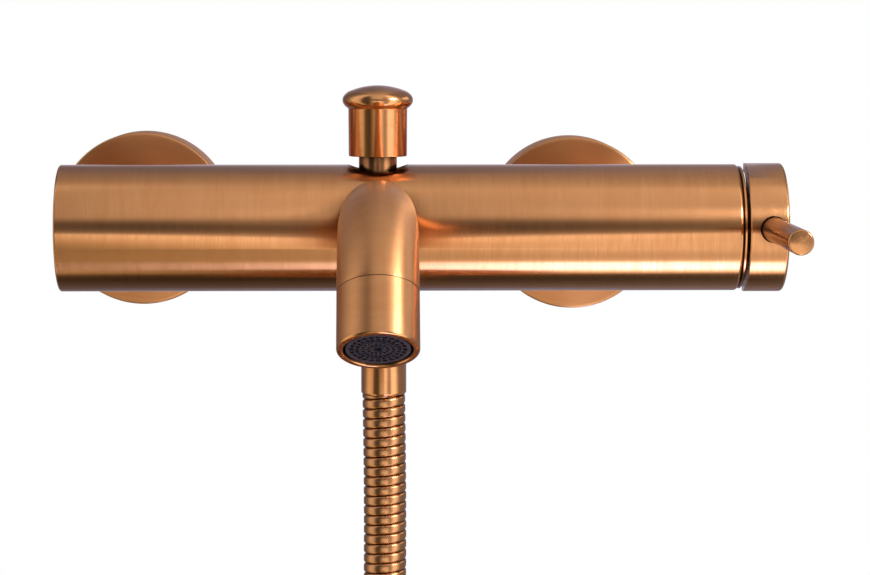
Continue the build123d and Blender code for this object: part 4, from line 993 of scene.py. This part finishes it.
class MIXER_OT_stage(bpy.types.Operator):
    """Pale floor, soft lamps, and the room that the metal reflects"""
    bl_idname = "mixer.stage"
    bl_label = "Stage"

    def execute(self, context):
        clear_selection()
        bpy.ops.mesh.primitive_plane_add(size=1.5, location=(0.075, -0.1, -0.335))
        floor = newest("studio_floor")
        floor.visible_glossy = False        # metal sees the room below it instead, as over a white table
        colours = context.scene.mixer_colours
        material, tree, output = new_material("pale_floor")
        grain = noise(tree, object_place(tree), 2.0, scale=400.0)
        surface(tree, output, {"Base Color": solid_colour(colours.floor), "Roughness": 0.8,
                               "Normal": bumped(tree, grain, 0.05, 0.0005)})
        paint(floor, material)

        lamps = (  # name, place, target, width, height, power, seen in the metal
            ("key_soft", (-0.525, -1.2, 1.4), (0.075, -0.06, 0), 1.0, 1.0, 16, False),
            ("fill_soft", (1.175, -0.8, 0.7), (0.075, -0.06, 0), 0.8, 0.8, 8, False),
            ("side_box", (0.795, 0.15, 0.26), (0.075, -0.15, 0), 0.45, 0.30, 0.38, True),
            ("front_box", (0.710, -0.525, 0.320), (0.082, -0.065, 0.045), 0.30, 0.16, 4.0, True),
        )
        for name, where, target, width, height, power, seen in lamps:
            clear_selection()
            bpy.ops.object.light_add(type="AREA", location=where)
            lamp = context.active_object
            lamp.name = name
            lamp.rotation_euler = (Vector(target) - Vector(where)).to_track_quat("-Z", "Y").to_euler()
            lamp.data.shape = "RECTANGLE"
            lamp.data.size = width
            lamp.data.size_y = height
            lamp.data.energy = power
            lamp.visible_camera = False
            lamp.visible_glossy = seen
        self.room(context)
        context.scene.view_settings.view_transform = "Standard"
        return {"FINISHED"}

    def room(self, context):
        """White to the camera; metal sees a white table in front, a bright ceiling, soft boxes at both
        sides and the dark of the room between them."""
        world = bpy.data.worlds.new("studio_room")
        world.use_nodes = True
        context.scene.world = world
        tree = world.node_tree
        tree.nodes.clear()
        output = tree.nodes.new("ShaderNodeOutputWorld")
        way = add_node(tree, "ShaderNodeTexCoord")
        x, y, z = add_node(tree, "ShaderNodeSeparateXYZ", {"Vector": way.outputs["Generated"]}).outputs
        ahead = maths(tree, "MULTIPLY", y, -1.0)
        rounds = (      # degrees up from straight ahead, brightness on the left and on the right
            (-180, 0.70, 0.70), (-168, 0.40, 0.44), (-157, 0.22, 0.28), (-138, 0.16, 0.26),
            (-120, 0.10, 0.16), (-104, 0.04, 0.07), (-91, 0.06, 0.12), (-86, 0.36, 1.60), (-76, 0.40, 5.50),
            (-65, 0.46, 5.00), (-59, 0.50, 1.20), (-50, 0.53, 1.00), (-43, 0.50, 1.20),
            (-37, 0.44, 1.48), (-27, 0.62, 1.56), (-17, 1.04, 1.46), (-7, 1.56, 1.60),
            (-4.5, 0.40, 0.52), (1, 0.14, 0.26), (8, 0.07, 0.17), (14, 0.12, 0.30), (19, 0.42, 0.62),
            (24, 0.66, 0.78), (37, 0.73, 0.80), (55, 0.75, 0.89), (72, 0.72, 0.82), (84, 0.68, 0.76),
            (95, 0.55, 0.64), (110, 0.42, 0.50), (126, 0.32, 0.44), (142, 0.24, 0.36),
            (157, 0.26, 0.34), (168, 0.55, 0.60), (180, 0.70, 0.70))
        left = self.dial(tree, z, ahead, [stop[:2] for stop in rounds])
        right = self.dial(tree, z, ahead, [stop[::2] for stop in rounds])
        rightward = ranged(tree, x, -0.06, 0.11, interpolation_type="SMOOTHSTEP")
        height = add_node(tree, "ShaderNodeMix", {"Factor": rightward, 2: left, 3: right}).outputs[0]
        side = self.dial(tree, x, ahead, (
            (-180, 0.28), (-150, 0.25), (-138, 0.16), (-110, 0.34), (-96, 0.80), (-84, 1.05), (-62, 0.80),
            (-54, 0.16), (-36, 0.08), (-20, 0.22), (-8, 0.36), (10, 0.36), (26, 0.42), (36, 0.65),
            (45, 1.75), (64, 1.70), (76, 0.80), (88, 0.32), (112, 0.30), (135, 0.30), (155, 0.28),
            (180, 0.28)))
        share = ranged(tree, maths(tree, "ABSOLUTE", x), 0.16, 0.45, interpolation_type="SMOOTHSTEP")
        seen = add_node(tree, "ShaderNodeMix", {"Factor": share, 2: height, 3: side}).outputs[0]
        cool = ranged(tree, seen, 1.8, 4.0)         # daylight in the window
        behind = ranged(tree, y, 0.1, 0.8)
        below = ranged(tree, z, -0.1, -0.4)
        warmer = maths(tree, "MULTIPLY", maths(tree, "SUBTRACT", 1.0, rightward), below)
        warm = mixed(tree, warmer, (1.0, 0.96, 0.93, 1), (1.0, 0.88, 0.64, 1))
        dusk = mixed(tree, behind, warm, (0.88, 0.88, 1.12, 1))
        tint = mixed(tree, cool, dusk, (0.9, 1.0, 1.7, 1))
        ray = add_node(tree, "ShaderNodeLightPath").outputs
        in_metal, plain, white = (
            add_node(tree, "ShaderNodeBackground", {"Color": colour, "Strength": strength}).outputs[0]
            for colour, strength in ((tint, seen), ((1, 1, 1, 1), 0.75), ((1, 1, 1, 1), 1.0)))
        clear_ray = maths(tree, "MAXIMUM", ray["Is Camera Ray"], ray["Is Transmission Ray"])
        first = add_node(tree, "ShaderNodeMixShader", {0: ray["Is Glossy Ray"], 1: plain, 2: in_metal})
        both = add_node(tree, "ShaderNodeMixShader", {0: clear_ray, 1: first.outputs[0], 2: white})
        tree.links.new(both.outputs[0], output.inputs[0])

    def dial(self, tree, rise, ahead, stops):
        """Brightness by angle: degrees from straight ahead into the room, and how bright it is there."""
        angle = maths(tree, "ARCTAN2", rise, ahead)
        ramp = add_node(tree, "ShaderNodeFloatCurve", {"Value": ranged(tree, angle, -math.pi, math.pi)})
        curve = ramp.mapping.curves[0]
        ramp.mapping.clip_max_y = 8.0
        for degrees, level in stops[1:-1]:
            curve.points.new((degrees + 180) / 360, level)
        curve.points[0].location = (0, stops[0][1])
        curve.points[-1].location = (1, stops[-1][1])
        for point in curve.points:
            point.handle_type = "VECTOR"
        ramp.mapping.update()
        return ramp.outputs[0]


OPERATORS = (
    MIXER_OT_camera, MIXER_OT_hose_nuts, MIXER_OT_tie, MIXER_OT_hose, MIXER_OT_body, MIXER_OT_cover,
    MIXER_OT_handle, MIXER_OT_diverter, MIXER_OT_spout, MIXER_OT_rosettes, MIXER_OT_unions,
    MIXER_OT_kept_nodes, MIXER_OT_stage,
)


class MIXER_PT_panel(bpy.types.Panel):
    """Lists the mixer's pieces, sizes and colours"""
    bl_idname = "MIXER_PT_panel"
    bl_label = "Bath Mixer"
    bl_space_type = "VIEW_3D"
    bl_region_type = "UI"
    bl_category = "Mixer"

    def draw(self, context):
        for operator in OPERATORS:
            self.layout.operator(operator.bl_idname)
        for group in (context.scene.mixer_sizes, context.scene.mixer_colours):
            for name in group.__annotations__:
                self.layout.prop(group, name)


CLASSES = (MixerSizes, MixerColours, *OPERATORS, MIXER_PT_panel)


def register():
    for cls in CLASSES:
        bpy.utils.register_class(cls)
    bpy.types.Scene.mixer_sizes = bpy.props.PointerProperty(type=MixerSizes)
    bpy.types.Scene.mixer_colours = bpy.props.PointerProperty(type=MixerColours)


def unregister():
    del bpy.types.Scene.mixer_colours
    del bpy.types.Scene.mixer_sizes
    for cls in reversed(CLASSES):
        bpy.utils.unregister_class(cls)


def main():
    register()
    for operator in OPERATORS:
        group, name = operator.bl_idname.split(".")
        getattr(getattr(bpy.ops, group), name)()


if __name__ == "__main__":
    main()
